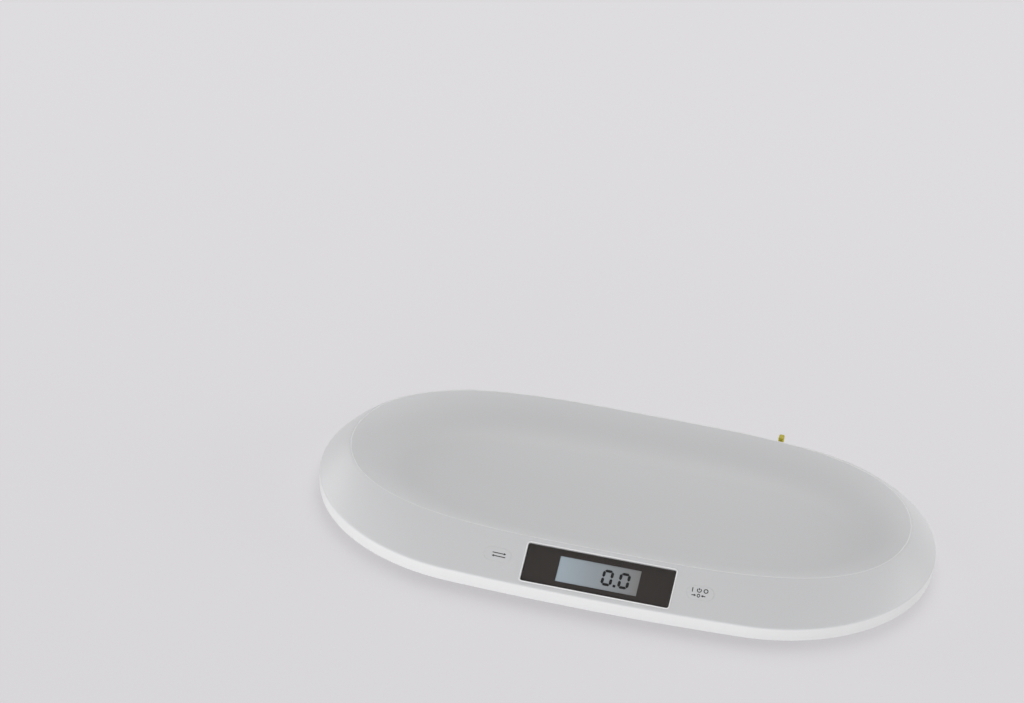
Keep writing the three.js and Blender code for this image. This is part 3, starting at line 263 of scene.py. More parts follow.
before_lip = (crown[..., 0] < (rim_width - slope_end)[:, None]).all(0)
past_lip = (bowl[..., 0] > rounded_lip[:, -1:, 0]).all(0)
upper = np.concatenate([foot[:, None], rounded_edge, crown[:, past_edge & before_lip], rounded_lip,
                        bowl[:, past_lip]], axis=1)
print("the section has", upper.shape[1], "points at", upper.shape[0], "places")


# %% [markdown]
# The lower side is the same section moved down by the wall. Its thickness is measured square to the slope, so
# the move is larger where the section is steep. It has a third of the points, because it hardly shows.


# %% The tray's lower side
def lowered(section, slope):
    """The section moved down by wall * sqrt(1 + slope^2), which is the wall measured square to the slope."""
    return section - np.stack(np.broadcast_arrays(0.0, TRAY_WALL * np.hypot(1, slope)), axis=-1)


rim_slope = (RIM_DROP / rim_width)[:, None]
bowl_slope = BASIN_DEPTH * np.cos(BOWL_SHARES * math.pi / 2) * (math.pi / 2) / bowl_width[:, None]
inner_foot = np.broadcast_to([SKIRT_DRAFT + TRAY_WALL, SKIRT_GAP], (RING, 1, 2))
inner_edge = section_points(np.full((RING, 1), TRAY_WALL), EDGE_Z + rim_slope * TRAY_WALL)
lower = np.concatenate([inner_foot, lowered(inner_edge, rim_slope), lowered(crown[:, 3::3], rim_slope),
                        lowered(lip[:, None], rim_slope),
                        lowered(bowl[:, 3::3], bowl_slope[:, 3::3])], axis=1)


def carried(section):
    """A section laid on the lines from skirt to lip and from lip to floor, as ring x stations x (x, y, z)."""
    d = section[..., 0]
    on_rim = np.clip(d / rim_width[:, None], 0, 1)[..., None]
    on_bowl = np.clip((d - rim_width[:, None]) / bowl_width[:, None], 0, 1)[..., None]
    plan = outer_ring[:, None] + (lip_ring - outer_ring)[:, None] * on_rim
    plan = plan + (floor_ring - lip_ring)[:, None] * on_bowl
    return np.concatenate([plan + [0, MIDDLE_Y], section[..., 1:]], axis=2)


def floor_disc(height):
    """Rings of the flat floor, drawn in from the floor outline by equal steps towards its middle."""
    shares = np.array([0.8, 0.6, 0.4, 0.2])
    plan = floor_ring[:, None] * shares[None, :, None]
    return np.concatenate([plan + [0, MIDDLE_Y], np.full((RING, len(shares), 1), height)], axis=2)


under_skin = np.concatenate([floor_disc(BASIN_Z - TRAY_WALL)[:, ::-1], carried(lower)[:, ::-1]], axis=1)
top_skin = np.concatenate([carried(upper), floor_disc(BASIN_Z)], axis=1)
skin = np.concatenate([under_skin, top_skin], axis=1).transpose(1, 0, 2)
tray_body = capped_rows(skin, [0, MIDDLE_Y, BASIN_Z - TRAY_WALL], [0, MIDDLE_Y, BASIN_Z])

# %% [markdown]
# ## Places on the front slope
# The display and the keys lie on the slope. A small frame there has X along the front edge, Y up the slope
# and Z out of the surface, so that a mark can be drawn flat and then laid on the slope.


# %% Frames on the slope
def outline_y(x):
    """How far the skirt stands from the long axis: b - R + sqrt(R^2 - x^2), with R the side's radius."""
    return HALF_DEPTH - SIDE_RADIUS + math.sqrt(SIDE_RADIUS ** 2 - x ** 2)


def lip_y(x):
    """The same for the lip: b (1 - |x/a|^p)^(1/q)."""
    share = (abs(x) / LIP_LENGTH) ** LIP_POWERS[0]
    return LIP_DEPTH * (1 - share) ** (1 / LIP_POWERS[1])


def slope_point(x, share):
    """A point of the front slope, share of the way from the edge to the lip."""
    y = outline_y(x) * (1 - share) + lip_y(x) * share
    return Vector((x, MIDDLE_Y - y, EDGE_Z + RIM_DROP * share))


def slope_frame(x):
    """The matrix of a flat drawing on the slope, centred half way up; its axes are cross products."""
    along = (slope_point(x + MM, 0.5) - slope_point(x - MM, 0.5)).normalized()
    up = (slope_point(x, 1) - slope_point(x, 0)).normalized()
    out = along.cross(up).normalized()
    level = out.cross(along).normalized()
    axes = Matrix((along, level, out)).transposed().to_4x4()
    return Matrix.Translation(slope_point(x, 0.5)) @ axes


KEY_X = 89 * MM
panel_frame = slope_frame(0)
key_frames = {"unit": slope_frame(-KEY_X), "power": slope_frame(KEY_X)}
print("the slope leans by", round(math.degrees(panel_frame.to_euler().x), 1), "degrees")

# %% [markdown]
# ## From flat outlines to bodies
# Panes, keys, plates and cutters are all outlines stacked one above another. An outline is drawn flat, given
# its height, and laid on the slope by the frame's matrix.


# %% Helpers for outlines
def rounded_outline(width, height, corner, grow=0, steps=10):
    """A rectangle grown all round, as (x, y); each corner is its centre + corner * (cos t, sin t)."""
    width += 2 * grow
    height += 2 * grow
    corner += grow
    quarter = np.linspace(0, math.pi / 2, steps)
    centres = np.array([[1, 1], [-1, 1], [-1, -1], [1, -1]]) * [width / 2 - corner, height / 2 - corner]
    turns = quarter[None, :] + np.arange(4)[:, None] * math.pi / 2
    arcs = np.stack([np.cos(turns), np.sin(turns)], axis=2) * corner
    return (arcs + centres[:, None]).reshape(-1, 2)


def laid(matrix, points):
    """Points of a drawing moved by a frame's matrix."""
    return np.asarray(points) @ np.array(matrix.to_3x3()).T + np.array(matrix.translation)


def levelled(rings):
    """Outlines of (x, y), each given with its height, as one array of points (x, y, z)."""
    return np.vstack([np.c_[outline, np.full(len(outline), height)] for outline, height in rings])


def loft(rings, matrix):
    """Points and faces of a closed body through outlines with equal counts, given upwards with heights."""
    count = len(rings[0][0])
    top = (len(rings) - 1) * count
    faces = grid_faces(len(rings), count) + [tuple(range(count))[::-1], tuple(range(top, top + count))]
    return laid(matrix, levelled(rings)), faces


def prism(outline, low, high, matrix):
    """The same for one outline pulled from low to high along the frame's Z."""
    return loft([(outline, low), (outline, high)], matrix)


def hollow_prism(outer, inner, low, high, matrix):
    """A prism with a hole: four rows of points that close both round the outline and round its section."""
    rings = [(outer, high), (inner, high), (inner, low), (outer, low)]
    return laid(matrix, levelled(rings)), grid_faces(len(rings), len(outer), close_rows=True)


# %% [markdown]
# ## Cutting the openings
# The window, the two key holes and the slot of the tape are cut out of the closed skin with a Boolean
# modifier, which leaves the even rows of the skin as they are. Its result is taken as the tray's mesh, so no
# cutter is left in the scene.

# %% Cut and place the tray
PANEL = (129.6 * MM, 36.4 * MM)
PANEL_CORNER = 1.5 * MM
KEY = (24 * MM, 13 * MM)
KEY_CORNER = KEY[1] / 2
KEY_GAP = 0.08 * MM
CUT_DEPTH = 6 * MM
TAPE_X = 112 * MM
SLOT_HALF_WIDTH = 0.8 * MM
SLOT_IN = -11 * MM
SLOT_OUT = 2 * MM
SLOT_HEADROOM = 1.6 * MM
blade_low, blade_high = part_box("tape_blade")


def cut_piece(name, points, faces, openings):
    """A closed body with prisms cut out of it, each given as its outline, low, high and matrix."""
    piece = mesh_object(name, points, faces)
    cutters = [mesh_object("cutter", *prism(*opening)) for opening in openings]
    for cutter in cutters:
        cut = piece.modifiers.new("cut", "BOOLEAN")
        cut.operation = "DIFFERENCE"
        cut.solver = "EXACT"
        cut.object = cutter
    bpy.context.view_layer.update()
    whole = piece.evaluated_get(bpy.context.evaluated_depsgraph_get())
    cut_mesh = bpy.data.meshes.new_from_object(whole)
    piece.modifiers.clear()
    piece.data = cut_mesh
    for cutter in cutters:
        bpy.data.objects.remove(cutter)
    return piece


window_hole = rounded_outline(*PANEL, PANEL_CORNER, GAP)
key_hole = rounded_outline(*KEY, KEY_CORNER, KEY_GAP)
tape_slot = np.array([[-SLOT_HALF_WIDTH, SLOT_IN], [SLOT_HALF_WIDTH, SLOT_IN],
                      [SLOT_HALF_WIDTH, SLOT_OUT], [-SLOT_HALF_WIDTH, SLOT_OUT]])
slot_frame = Matrix.Translation((TAPE_X, MIDDLE_Y + outline_y(TAPE_X), 0))
openings = [(window_hole, -CUT_DEPTH, CUT_DEPTH, panel_frame)]
openings += [(key_hole, -CUT_DEPTH, CUT_DEPTH, key_frame) for key_frame in key_frames.values()]
openings.append((tape_slot, blade_low.z - GAP, blade_high.z + SLOT_HEADROOM, slot_frame))
finish_piece(cut_piece("tray_skin", *tray_body, openings), "housing", 25, ["top_tray"])

# %% [markdown]
# ## The line of light round the window
# The dark window sits in a shallow recess, and the recess's soft edge catches a thin bright line on all four
# sides. A painted line would lie flat. A bead a fraction of a millimetre high, carried round the recess,
# gives that line real geometry. Its white, brighter than the tray's, is a painted highlight.


# %% The bead round the window
def bead(line, side, width, height, turns):
    """Rows line + side * width / 2 * cos t + up * height * sin t, one for each turn t, and their faces."""
    across = side[None] * (np.cos(turns) * width / 2)[:, None, None]
    rise = np.broadcast_to((np.sin(turns) * height)[:, None, None], across.shape[:2] + (1,))
    points = line[None] + np.concatenate([across, rise], axis=2)
    return points, grid_faces(len(turns), len(line), close_rows=True)


BEAD_WIDTH = 1.1 * MM
BEAD_HEIGHT = 0.35 * MM
window_edge = rounded_outline(PANEL[0] + 2 * GAP + BEAD_WIDTH, PANEL[1] + 2 * GAP + BEAD_WIDTH,
                              PANEL_CORNER + BEAD_WIDTH)
ahead = np.roll(window_edge, -1, axis=0) - np.roll(window_edge, 1, axis=0)
outward = np.stack([ahead[:, 1], -ahead[:, 0]], axis=1)
outward /= np.linalg.norm(outward, axis=1, keepdims=True)
window_line = levelled([(window_edge, 0)])
bead_turns = np.linspace(0, 2 * math.pi, 12, endpoint=False)
bead_points, bead_faces = bead(window_line, outward, BEAD_WIDTH, BEAD_HEIGHT, bead_turns)
make_piece("window_bead", laid(panel_frame, bead_points), bead_faces, "housing", "tray", 60)

# %% [markdown]
# ### The line of light along the lip
# The lip is drawn to a fine edge in its mould. A low bead along the highest line of the rounded lip, in a
# paler white that is a painted highlight, makes the thin line of light that parts the slope from the basin.

# %% The bead along the lip
LIP_BEAD_WIDTH = 0.9 * MM
LIP_BEAD_HEIGHT = 0.12 * MM
crest = rounded_lip[np.arange(RING), rounded_lip[..., 1].argmax(1)]
crest_line = carried(crest[:, None])[:, 0]
inward = (floor_ring - lip_ring) / bowl_width[:, None]
# this side points inwards, so the turns run backwards to keep the faces outwards
lip_turns = np.linspace(2 * math.pi, 0, 10, endpoint=False)
lip_bead = bead(crest_line, inward, LIP_BEAD_WIDTH, LIP_BEAD_HEIGHT, lip_turns)
make_piece("lip_bead", *lip_bead, "housing", "tray", 70)

# %% [markdown]
# ## The display's layers
# Seen from the front they follow one another: the clear window, sunk a little below the slope, the dark film
# with its opening, and the face of the liquid crystal glass, which is larger than that opening.

# %% Window, film and the face of the glass
WINDOW_LEVELS = (-1.9 * MM, -0.7 * MM)
FILM_LEVELS = (-2.6 * MM, -2.2 * MM)
FACE_LEVELS = (-2.85 * MM, -2.65 * MM)
FILM_OPENING = (71 * MM, 24.4 * MM)
FACE = (74 * MM, 26.5 * MM)
SHARP = 0.3 * MM
panel_outline = rounded_outline(*PANEL, PANEL_CORNER)
bevelled = rounded_outline(*PANEL, PANEL_CORNER, -SHARP)
pane_low, pane_high = WINDOW_LEVELS
pane_rings = [(panel_outline, pane_low), (panel_outline, pane_high - SHARP), (bevelled, pane_high)]
make_piece("clear_pane", *loft(pane_rings, panel_frame), "housing", "lens", 40, ["display_lens"])
film = hollow_prism(panel_outline, rounded_outline(*FILM_OPENING, SHARP), *FILM_LEVELS, panel_frame)
make_piece("printed_film", *film, "housing", "mask", 30, ["display_mask"])
glass_face = prism(rounded_outline(*FACE, SHARP), *FACE_LEVELS, panel_frame)
make_piece("glass_face", *glass_face, "housing", "lcd", 40)

# %% [markdown]
# ## The reading
# The glass shows a plain reading of zero. A digit of such a glass has seven bars with pointed ends, cut apart
# by thin gaps, and a zero shows six of them. The digits lean a little. The bars are thin plates that lie on
# the glass, because a picture of them would blur in a close view.

# %% Seven-bar digits
DIGIT = (7.2 * MM, 12.8 * MM)
DIGIT_PLACES = (4.3 * MM, 19 * MM)
POINT_X = 15.1 * MM
BAR = 2.5 * MM
BAR_GAP = 0.2 * MM
LEAN = 0.03
MARK = 0.02 * MM
# each bar joins two joints of the digit, given as (column, row)
ZERO_BARS = (((0, 1), (1, 1)), ((1, 1), (1, 0)), ((1, 0), (1, -1)), ((0, -1), (1, -1)), ((0, 0), (0, -1)),
             ((0, 1), (0, 0)))


def bar_outline(start, end):
    """A six-cornered bar between two joints, pointed at both ends: half a bar's width along and aside."""
    way = (end - start) / np.linalg.norm(end - start)
    side = np.array([-way[1], way[0]]) * BAR / 2
    first, last = start + way * BAR_GAP, end - way * BAR_GAP
    inner_first, inner_last = first + way * BAR / 2, last - way * BAR / 2
    return np.array([first, inner_first - side, inner_last - side,
                     last, inner_last + side, inner_first + side])


def plates(outlines, level, matrix):
    """A thin plate for each outline, lying on a level of the frame."""
    return [prism(outline, level, level + MARK, matrix) for outline in outlines]


def joined(bodies):
    """The points and faces of several bodies as one; each one's numbers start where the last ones ended."""
    points, faces = [], []
    for body_points, body_faces in bodies:
        start = len(points)
        points.extend(body_points.tolist())
        faces.extend(tuple(number + start for number in face) for face in body_faces)
    return points, faces


reading = [rounded_outline(BAR, BAR, BAR / 4) + [POINT_X, -DIGIT[1] / 2]]
for digit_x in DIGIT_PLACES:
    for bar_ends in ZERO_BARS:
        joints = np.array(bar_ends) * [DIGIT[0], DIGIT[1] / 2] + [digit_x, 0]
        joints[:, 0] += joints[:, 1] * LEAN
        reading.append(bar_outline(*joints))
digits = joined(plates(reading, FACE_LEVELS[1] + MARK, panel_frame))
make_piece("lcd_digits", *digits, "housing", "black_plastic")

# %% [markdown]
# ## The keys
# A key is one body, lofted through seven outlines from its stem to its top: the round stem that reaches the
# switch, the flange that keeps it in and the pill that fills the hole. Its top lies level with the slope.

# %% Loft the keys
KEY_TOP = 0.02 * MM
KEY_EDGE = 0.1 * MM
FLANGE = 2 * MM
FLANGE_TOP = -2.8 * MM
FLANGE_UNDER = -3.8 * MM
STEM_RADIUS = 3.5 * MM
STEM_END = -6.2 * MM
stem_outline = rounded_outline(2 * STEM_RADIUS, 2 * STEM_RADIUS, STEM_RADIUS, steps=16)
flange_outline = rounded_outline(*KEY, KEY_CORNER, FLANGE, 16)
pill = rounded_outline(*KEY, KEY_CORNER, 0, 16)
pill_top = rounded_outline(*KEY, KEY_CORNER, -KEY_EDGE, 16)
key_rings = [(stem_outline, STEM_END), (stem_outline, FLANGE_UNDER), (flange_outline, FLANGE_UNDER),
             (flange_outline, FLANGE_TOP), (pill, FLANGE_TOP), (pill, -KEY_EDGE), (pill_top, KEY_TOP)]
for side, key_frame in key_frames.items():
    make_piece(side + "_key_cap", *loft(key_rings, key_frame), side + "_key", "key", 40, [side + "_button"])

# %% [markdown]
# ### Signs on the keys
# The left key changes the unit and the right key switches the scale on and sets it to zero. The prints are
# plain signs: a pair of arrows for the change; a bar, a broken ring and a circle for the switch; arrows
# towards a zero.

# %% Draw the signs
LINE = 0.8 * MM
SIGN_SHIFT = 1.2 * MM
RING_RADIUS = 1.7 * MM
OPEN_ANGLE = math.radians(36)
STROKE_LENGTH = RING_RADIUS * 1.2
STROKE_RISE = RING_RADIUS * 0.7
ROW = 2.5 * MM
SPREAD = 5.8 * MM
ZERO_RADIUS = 1.4 * MM
ZERO_WIDTH = 0.75
ZERO_ARROW = 4 * MM
ZERO_SPREAD = 4 * MM
UNIT_ARROW = 12 * MM
UNIT_ROW = 1.5 * MM
ARROW_HEAD = 1.9 * MM
ARROW_WING = ARROW_HEAD * 0.6


def broken_ring(steps=36):
    """The outline of a flat ring open at its top, out along the outer arc and back along the inner one."""
    turns = np.linspace(math.pi / 2 + OPEN_ANGLE, math.pi * 5 / 2 - OPEN_ANGLE, steps)
    arc = np.stack([np.cos(turns), np.sin(turns)], axis=1)
    return np.vstack([arc * (RING_RADIUS + LINE / 2), arc[::-1] * (RING_RADIUS - LINE / 2)])


def circle(radius, squeeze, centre, steps=40):
    """The points centre + radius * (squeeze * cos t, sin t), all the way round."""
    turns = np.linspace(0, 2 * math.pi, steps, endpoint=False)
    return np.stack([np.cos(turns) * squeeze, np.sin(turns)], axis=1) * radius + centre


def arrow(length, way):
    """An arrow along X, way 1 to the right and -1 to the left, with its middle at the origin."""
    half = LINE / 2
    tail = length / 2 - ARROW_HEAD
    return way * np.array([[-length / 2, -half], [tail, -half], [tail, -ARROW_WING], [length / 2, 0],
                           [tail, ARROW_WING], [tail, half], [-length / 2, half]])


def key_sign(name, outlines, rings, matrix, body):
    """Thin plates with the given outlines, and whole rings of (radius, squeeze, centre), lying on a key."""
    level = KEY_TOP + MARK
    bodies = plates(outlines, level, matrix)
    for radius, squeeze, centre in rings:
        outer, inner = (circle(radius + side * LINE / 2, squeeze, centre) for side in (1, -1))
        bodies.append(hollow_prism(outer, inner, level, level + MARK, matrix))
    make_piece(name, *joined(bodies), body, "black_plastic")


stroke = rounded_outline(LINE, STROKE_LENGTH, LINE / 3) + [0, STROKE_RISE]
on_bar = rounded_outline(LINE, 2 * RING_RADIUS + LINE, LINE / 3) - [SPREAD, 0]
zero_arrows = [arrow(ZERO_ARROW, way) - [way * ZERO_SPREAD, 0] for way in (1, -1)]
power_outlines = [outline + [-SIGN_SHIFT, ROW] for outline in (broken_ring(), stroke, on_bar)]
power_outlines += [outline + [-SIGN_SHIFT, -ROW] for outline in zero_arrows]
power_rings = [(RING_RADIUS, 1, (SPREAD - SIGN_SHIFT, ROW)), (ZERO_RADIUS, ZERO_WIDTH, (-SIGN_SHIFT, -ROW))]
key_sign("power_sign", power_outlines, power_rings, key_frames["power"], "power_key")
unit_outlines = [arrow(UNIT_ARROW, way) + [SIGN_SHIFT, way * UNIT_ROW] for way in (1, -1)]
key_sign("unit_sign", unit_outlines, [], key_frames["unit"], "unit_key")

# %% [markdown]
# ## Round parts that show
# The solids of the feet and screws are made of a few flats. Seen from below they should be round, so each is
# turned again from its outline, with more steps and softened edges.


# %% Turned feet
def turned(profile, steps=72):
    """A profile of (radius r, height h) turned about Z as (r cos t, r sin t, h), from axis to axis."""
    profile = np.array(profile, float)
    turns = np.linspace(0, 2 * math.pi, steps, endpoint=False)
    ring = np.stack([np.cos(turns), np.sin(turns)], axis=1)
    inner = profile[1:-1]
    heights = np.broadcast_to(inner[:, 1:, None], (len(inner), steps, 1))
    rows = np.concatenate([inner[:, :1, None] * ring[None], heights], axis=2)
    return capped_rows(rows, [0, 0, profile[0, 1]], [0, 0, profile[-1, 1]])


PAD_RADIUS = 13 * MM
PAD_TOP = 2.2 * MM
SOFT = 0.4 * MM
GROOVE = 0.5 * MM
CUP_RADIUS = 16 * MM
CUP_BOTTOM = 1.3 * MM
FLANGE_Z = 11.1 * MM
FLANGE_RADIUS = 18.2 * MM
CUP_TOP = 12.1 * MM
NOSE_RADIUS = 4 * MM
NOSE_TOP = 13.5 * MM
# shares of the pad's radius with the height of its underside there: a hollow, a rib, a groove and the rest
PAD_STEPS = ((0.45, GROOVE), (0.48, 0), (0.66, 0), (0.69, GROOVE), (0.8, GROOVE), (0.83, 0))
pad_profile = [(0, GROOVE), *((PAD_RADIUS * share, height) for share, height in PAD_STEPS),
               (PAD_RADIUS - SOFT, 0), (PAD_RADIUS, SOFT), (PAD_RADIUS, PAD_TOP), (0, PAD_TOP)]
cup_profile = [(0, PAD_TOP + GAP), (PAD_RADIUS + GAP, PAD_TOP + GAP), (PAD_RADIUS + GAP, CUP_BOTTOM),
               (CUP_RADIUS - 2 * SOFT, CUP_BOTTOM), (CUP_RADIUS - SOFT / 2, CUP_BOTTOM + SOFT / 2),
               (CUP_RADIUS, CUP_BOTTOM + 2 * SOFT), (CUP_RADIUS, FLANGE_Z), (FLANGE_RADIUS, FLANGE_Z),
               (FLANGE_RADIUS, CUP_TOP), (NOSE_RADIUS, CUP_TOP), (NOSE_RADIUS, NOSE_TOP), (0, NOSE_TOP)]
for place in ("front_left", "front_right", "rear_left", "rear_right"):
    low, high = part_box("foot_pad_" + place)
    middle = [(low.x + high.x) / 2, (low.y + high.y) / 2, 0]
    for kind, profile, slot in (("pad_", pad_profile, "rubber"), ("cup_", cup_profile, "housing")):
        points, faces = turned(profile)
        make_piece("round_" + kind + place, points + middle, faces, "housing", slot, 40,
                   ["foot_" + kind + place])

# %% [markdown]
# The screws get a softly rounded head. The cross that the screwdriver turns is cut into one of them, and all
# eight take its points.


# %% Turned screws
def mesh_arrays(mesh):
    """A mesh's points as an array of (x, y, z), and its faces as tuples of point numbers."""
    points = np.empty(len(mesh.vertices) * 3)
    mesh.vertices.foreach_get("co", points)
    return points.reshape(-1, 3), [tuple(polygon.vertices) for polygon in mesh.polygons]


SCREWS = 8
HEAD_RADIUS = 2.8 * MM
HEAD_HEIGHT = 1.6 * MM
SHANK_RADIUS = 1.4 * MM
SCREW_LENGTH = 11 * MM
CROSS_ARM = 1.75 * MM
CROSS_HALF = 0.4 * MM
CROSS_DEPTH = 0.9 * MM
screw_profile = [(0, 0), (HEAD_RADIUS - SOFT, 0), (HEAD_RADIUS - SOFT / 4, SOFT / 3), (HEAD_RADIUS, SOFT),
                 (HEAD_RADIUS, HEAD_HEIGHT), (SHANK_RADIUS, HEAD_HEIGHT),
                 (SHANK_RADIUS, SCREW_LENGTH - SHANK_RADIUS), (0, SCREW_LENGTH)]
quarter = np.array([[CROSS_HALF, CROSS_HALF], [CROSS_HALF, CROSS_ARM], [-CROSS_HALF, CROSS_ARM]])
cross_outline = np.vstack([quarter, quarter[:, ::-1] * [-1, 1], -quarter, quarter[:, ::-1] * [1, -1]])
cross = (cross_outline, -CROSS_DEPTH, CROSS_DEPTH, Matrix.Identity(4))
cut_screw = cut_piece("cut_screw", *turned(screw_profile, 48), [cross])
screw_points, screw_faces = mesh_arrays(cut_screw.data)
bpy.data.objects.remove(cut_screw)
for number in range(1, SCREWS + 1):
    low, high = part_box("cover_screw_%d" % number)
    head_place = [(low.x + high.x) / 2, (low.y + high.y) / 2, low.z]
    make_piece("round_screw_%d" % number, screw_points + head_place, screw_faces, "housing", "steel", 35,
               ["cover_screw_%d" % number])

# %% [markdown]
# ## Marks on the tape
# The tape carries a centimetre scale in red. The fine lines are part of its material further down. The
# numerals are real letters turned into thin meshes, one for each centimetre that can be pulled out.

# %% Numerals of the tape
NUMERAL = 3.4 * MM
NUMERAL_LIFT = 1.5 * MARK
CENTIMETRE = 10 * MM
TAPE_PULL = 200 * MM
numeral_z = (blade_low.z + blade_high.z) / 2
tab_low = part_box("tape_tab")[0]
numerals = []
for number in range(1, round(TAPE_PULL / CENTIMETRE) + 1):
    letters = bpy.data.curves.new("numeral", "FONT")
    letters.body = str(number)
    letters.size = NUMERAL
    letters.align_x = "CENTER"
    letters.align_y = "CENTER"
    letters.resolution_u = 2
    letters.extrude = MARK / 2
    writing = bpy.data.objects.new("numeral", letters)
    bpy.context.scene.collection.objects.link(writing)
    bpy.context.view_layer.update()
    flat = bpy.data.meshes.new_from_object(writing.evaluated_get(bpy.context.evaluated_depsgraph_get()))
    letter_points, letter_faces = mesh_arrays(flat)
    across, up, out = letter_points.T
    along = tab_low.y - number * CENTIMETRE
    # the writing reads along the tape, upright, on both of its faces
    for face_x, way in ((blade_high.x, 1), (blade_low.x, -1)):
        x = face_x + way * (out + NUMERAL_LIFT)
        numerals.append((np.stack([x, along + way * across, numeral_z + up], axis=1), letter_faces))
    bpy.data.objects.remove(writing)
    bpy.data.curves.remove(letters)
    bpy.data.meshes.remove(flat)
# points of a numeral's faces and sides that lie on each other become one
all_points, all_faces = joined(numerals)
all_points = np.array(all_points)
spots = np.round(all_points / (MARK / 100))
_, first, spot_numbers = np.unique(spots, axis=0, return_index=True, return_inverse=True)
numeral_faces = [tuple(spot_numbers.ravel()[list(face)].tolist()) for face in all_faces]
make_piece("tape_numerals", all_points[first], numeral_faces, "tape", "wire")

# %% [markdown]
# ## Materials
# Shader maths reads best as plain arithmetic. The first class below wraps one socket of a node, so that
# adding or multiplying two of them adds the Math node that does it. The second one holds a material, and
# one method of it adds any other node.


# %% Sockets that can be calculated with
def feed(tree, socket, value):
    """Puts a constant on a socket, or links a wire to it."""
    if isinstance(value, Wire):
        tree.links.new(value.socket, socket)
    else:
        socket.default_value = value


class Wire:
    """One output socket, with the operators that the materials use."""

    def __init__(self, tree, socket):
        self.tree = tree
        self.socket = socket

    def maths(self, operation, *values):
        """A Math node with those values or wires on its sockets."""
        node = self.tree.nodes.new("ShaderNodeMath")
        node.operation = operation
        for place, value in enumerate(values):
            feed(self.tree, node.inputs[place], value)
        return Wire(self.tree, node.outputs[0])

    def __add__(self, other):
        return self.maths("ADD", self, other)

    __radd__ = __add__

    def __mul__(self, other):
        return self.maths("MULTIPLY", self, other)

    __rmul__ = __mul__

    def __sub__(self, other):
        return self.maths("SUBTRACT", self, other)

    def __rsub__(self, other):
        return self.maths("SUBTRACT", other, self)

    def __mod__(self, span):
        """What is left over after whole spans, always from 0 up to span."""
        return self.maths("WRAP", self, span, 0.0)

    def clamped(self):
        """The value kept between 0 and 1."""
        return self.maths("MINIMUM", self.maths("MAXIMUM", self, 0.0), 1.0)

    def below(self, limit):
        """1 where the value is below the limit, else 0."""
        return self.maths("LESS_THAN", self, limit)

    def above(self, limit):
        """1 where the value is above the limit, else 0."""
        return self.maths("GREATER_THAN", self, limit)


class Finish:
    """A material with a Principled shader, and methods that feed its sockets."""

    def __init__(self, name, color, roughness, metallic=0.0, coat=0.0):
        self.material = bpy.data.materials.new(name)
        self.material.use_nodes = True
        self.tree = self.material.node_tree
        self.shader = self.tree.nodes["Principled BSDF"]
        self.set("Base Color", (*color, 1))
        self.set("Roughness", roughness)
        self.set("Metallic", metallic)
        self.set("Coat Weight", coat)

    def set(self, name, value):
        """Sets a shader socket to a constant, or links a wire to it."""
        feed(self.tree, self.shader.inputs[name], value)

    def node(self, kind, settings=None, sockets=None, output=0):
        """Adds a node: its settings first, then the values or wires of its sockets by name or place."""
        node = self.tree.nodes.new("ShaderNode" + kind)
        for key, value in (settings or {}).items():
            setattr(node, key, value)
        for key, value in (sockets or {}).items():
            feed(self.tree, node.inputs[key], value)
        return Wire(self.tree, node.outputs[output])

    def place(self, axis=None):
        """The Object coordinates, or one number of them."""
        spot = self.node("TexCoord", output="Object")
        if axis is None:
            return spot
        return self.node("SeparateXYZ", sockets={"Vector": spot}, output=axis)

    def noise(self, scale, detail=3.0):
        """Smooth random numbers from 0 to 1."""
        return self.node("TexNoise", sockets={"Vector": self.place(), "Scale": scale, "Detail": detail})

    def waver(self, scale, amount, base):
        """A roughness of noise * amount + base."""
        self.set("Roughness", self.noise(scale) * amount + base)

    def tint(self, factor, first, second):
        """A base colour that goes from the first to the second as the factor goes from 0 to 1."""
        sockets = {"Factor": factor, 6: (*first, 1), 7: (*second, 1)}
        self.set("Base Color", self.node("Mix", {"data_type": "RGBA"}, sockets, output=2))

    def bump(self, height, strength, distance):
        """Feeds a height into the Normal socket through a Bump node."""
        sockets = {"Strength": strength, "Distance": distance, "Height": height}
        self.set("Normal", self.node("Bump", sockets=sockets))


# %% [markdown]
# ### White mouldings
# The tray has a satin gloss with the faintest waviness. Its white comes in a lit and a shaded copy: the skirt
# below the edge is painted a paler white as painted light, and the top a greyer white as painted shade. The
# cover underneath is spark-eroded: a fine even grain that takes away the shine.

# %% White plastics
TOP_WHITE_PAINTED_SHADE = (0.715, 0.717, 0.727)
SKIRT_WHITE_PAINTED_LIGHT = (0.9, 0.9, 0.905)
EDGE_BLEND = 1.5 * MM
gloss_white = Finish("gloss_white", TOP_WHITE_PAINTED_SHADE, 0.4, coat=0.05)
gloss_white.set("Specular IOR Level", 0.3)
gloss_white.set("Coat Roughness", 0.3)
# painted light and shade: the skirt is painted paler than the top, and the change fades in over the edge
painted_light_edge_fade = (gloss_white.place("Z") - (EDGE_Z - EDGE_BLEND)) * (1 / EDGE_BLEND)
gloss_white.tint(painted_light_edge_fade.clamped(), SKIRT_WHITE_PAINTED_LIGHT, TOP_WHITE_PAINTED_SHADE)
gloss_white.waver(18, 0.05, 0.4)
gloss_white.bump(gloss_white.noise(60, 2.0), 0.03, 0.0004)

# painted highlight: the lip's bead is painted a paler white than the tray
lip_painted_highlight = Finish("lip_painted_highlight", (0.87, 0.87, 0.88), 0.4, coat=0.05)
lip_painted_highlight.waver(140, 0.05, 0.4)
# painted highlight: the window's bead is painted a brighter white than the tray
window_painted_highlight = Finish("window_painted_highlight", (0.93, 0.93, 0.935), 0.3)
window_painted_highlight.waver(60, 0.1, 0.25)

satin_white = Finish("satin_white", (0.79, 0.79, 0.8), 0.5)
satin_white.tint(satin_white.noise(30), (0.77, 0.77, 0.78), (0.81, 0.81, 0.82))
satin_white.waver(900, 0.15, 0.42)
satin_white.bump(satin_white.noise(1800, 2.0), 0.25, 0.0002)
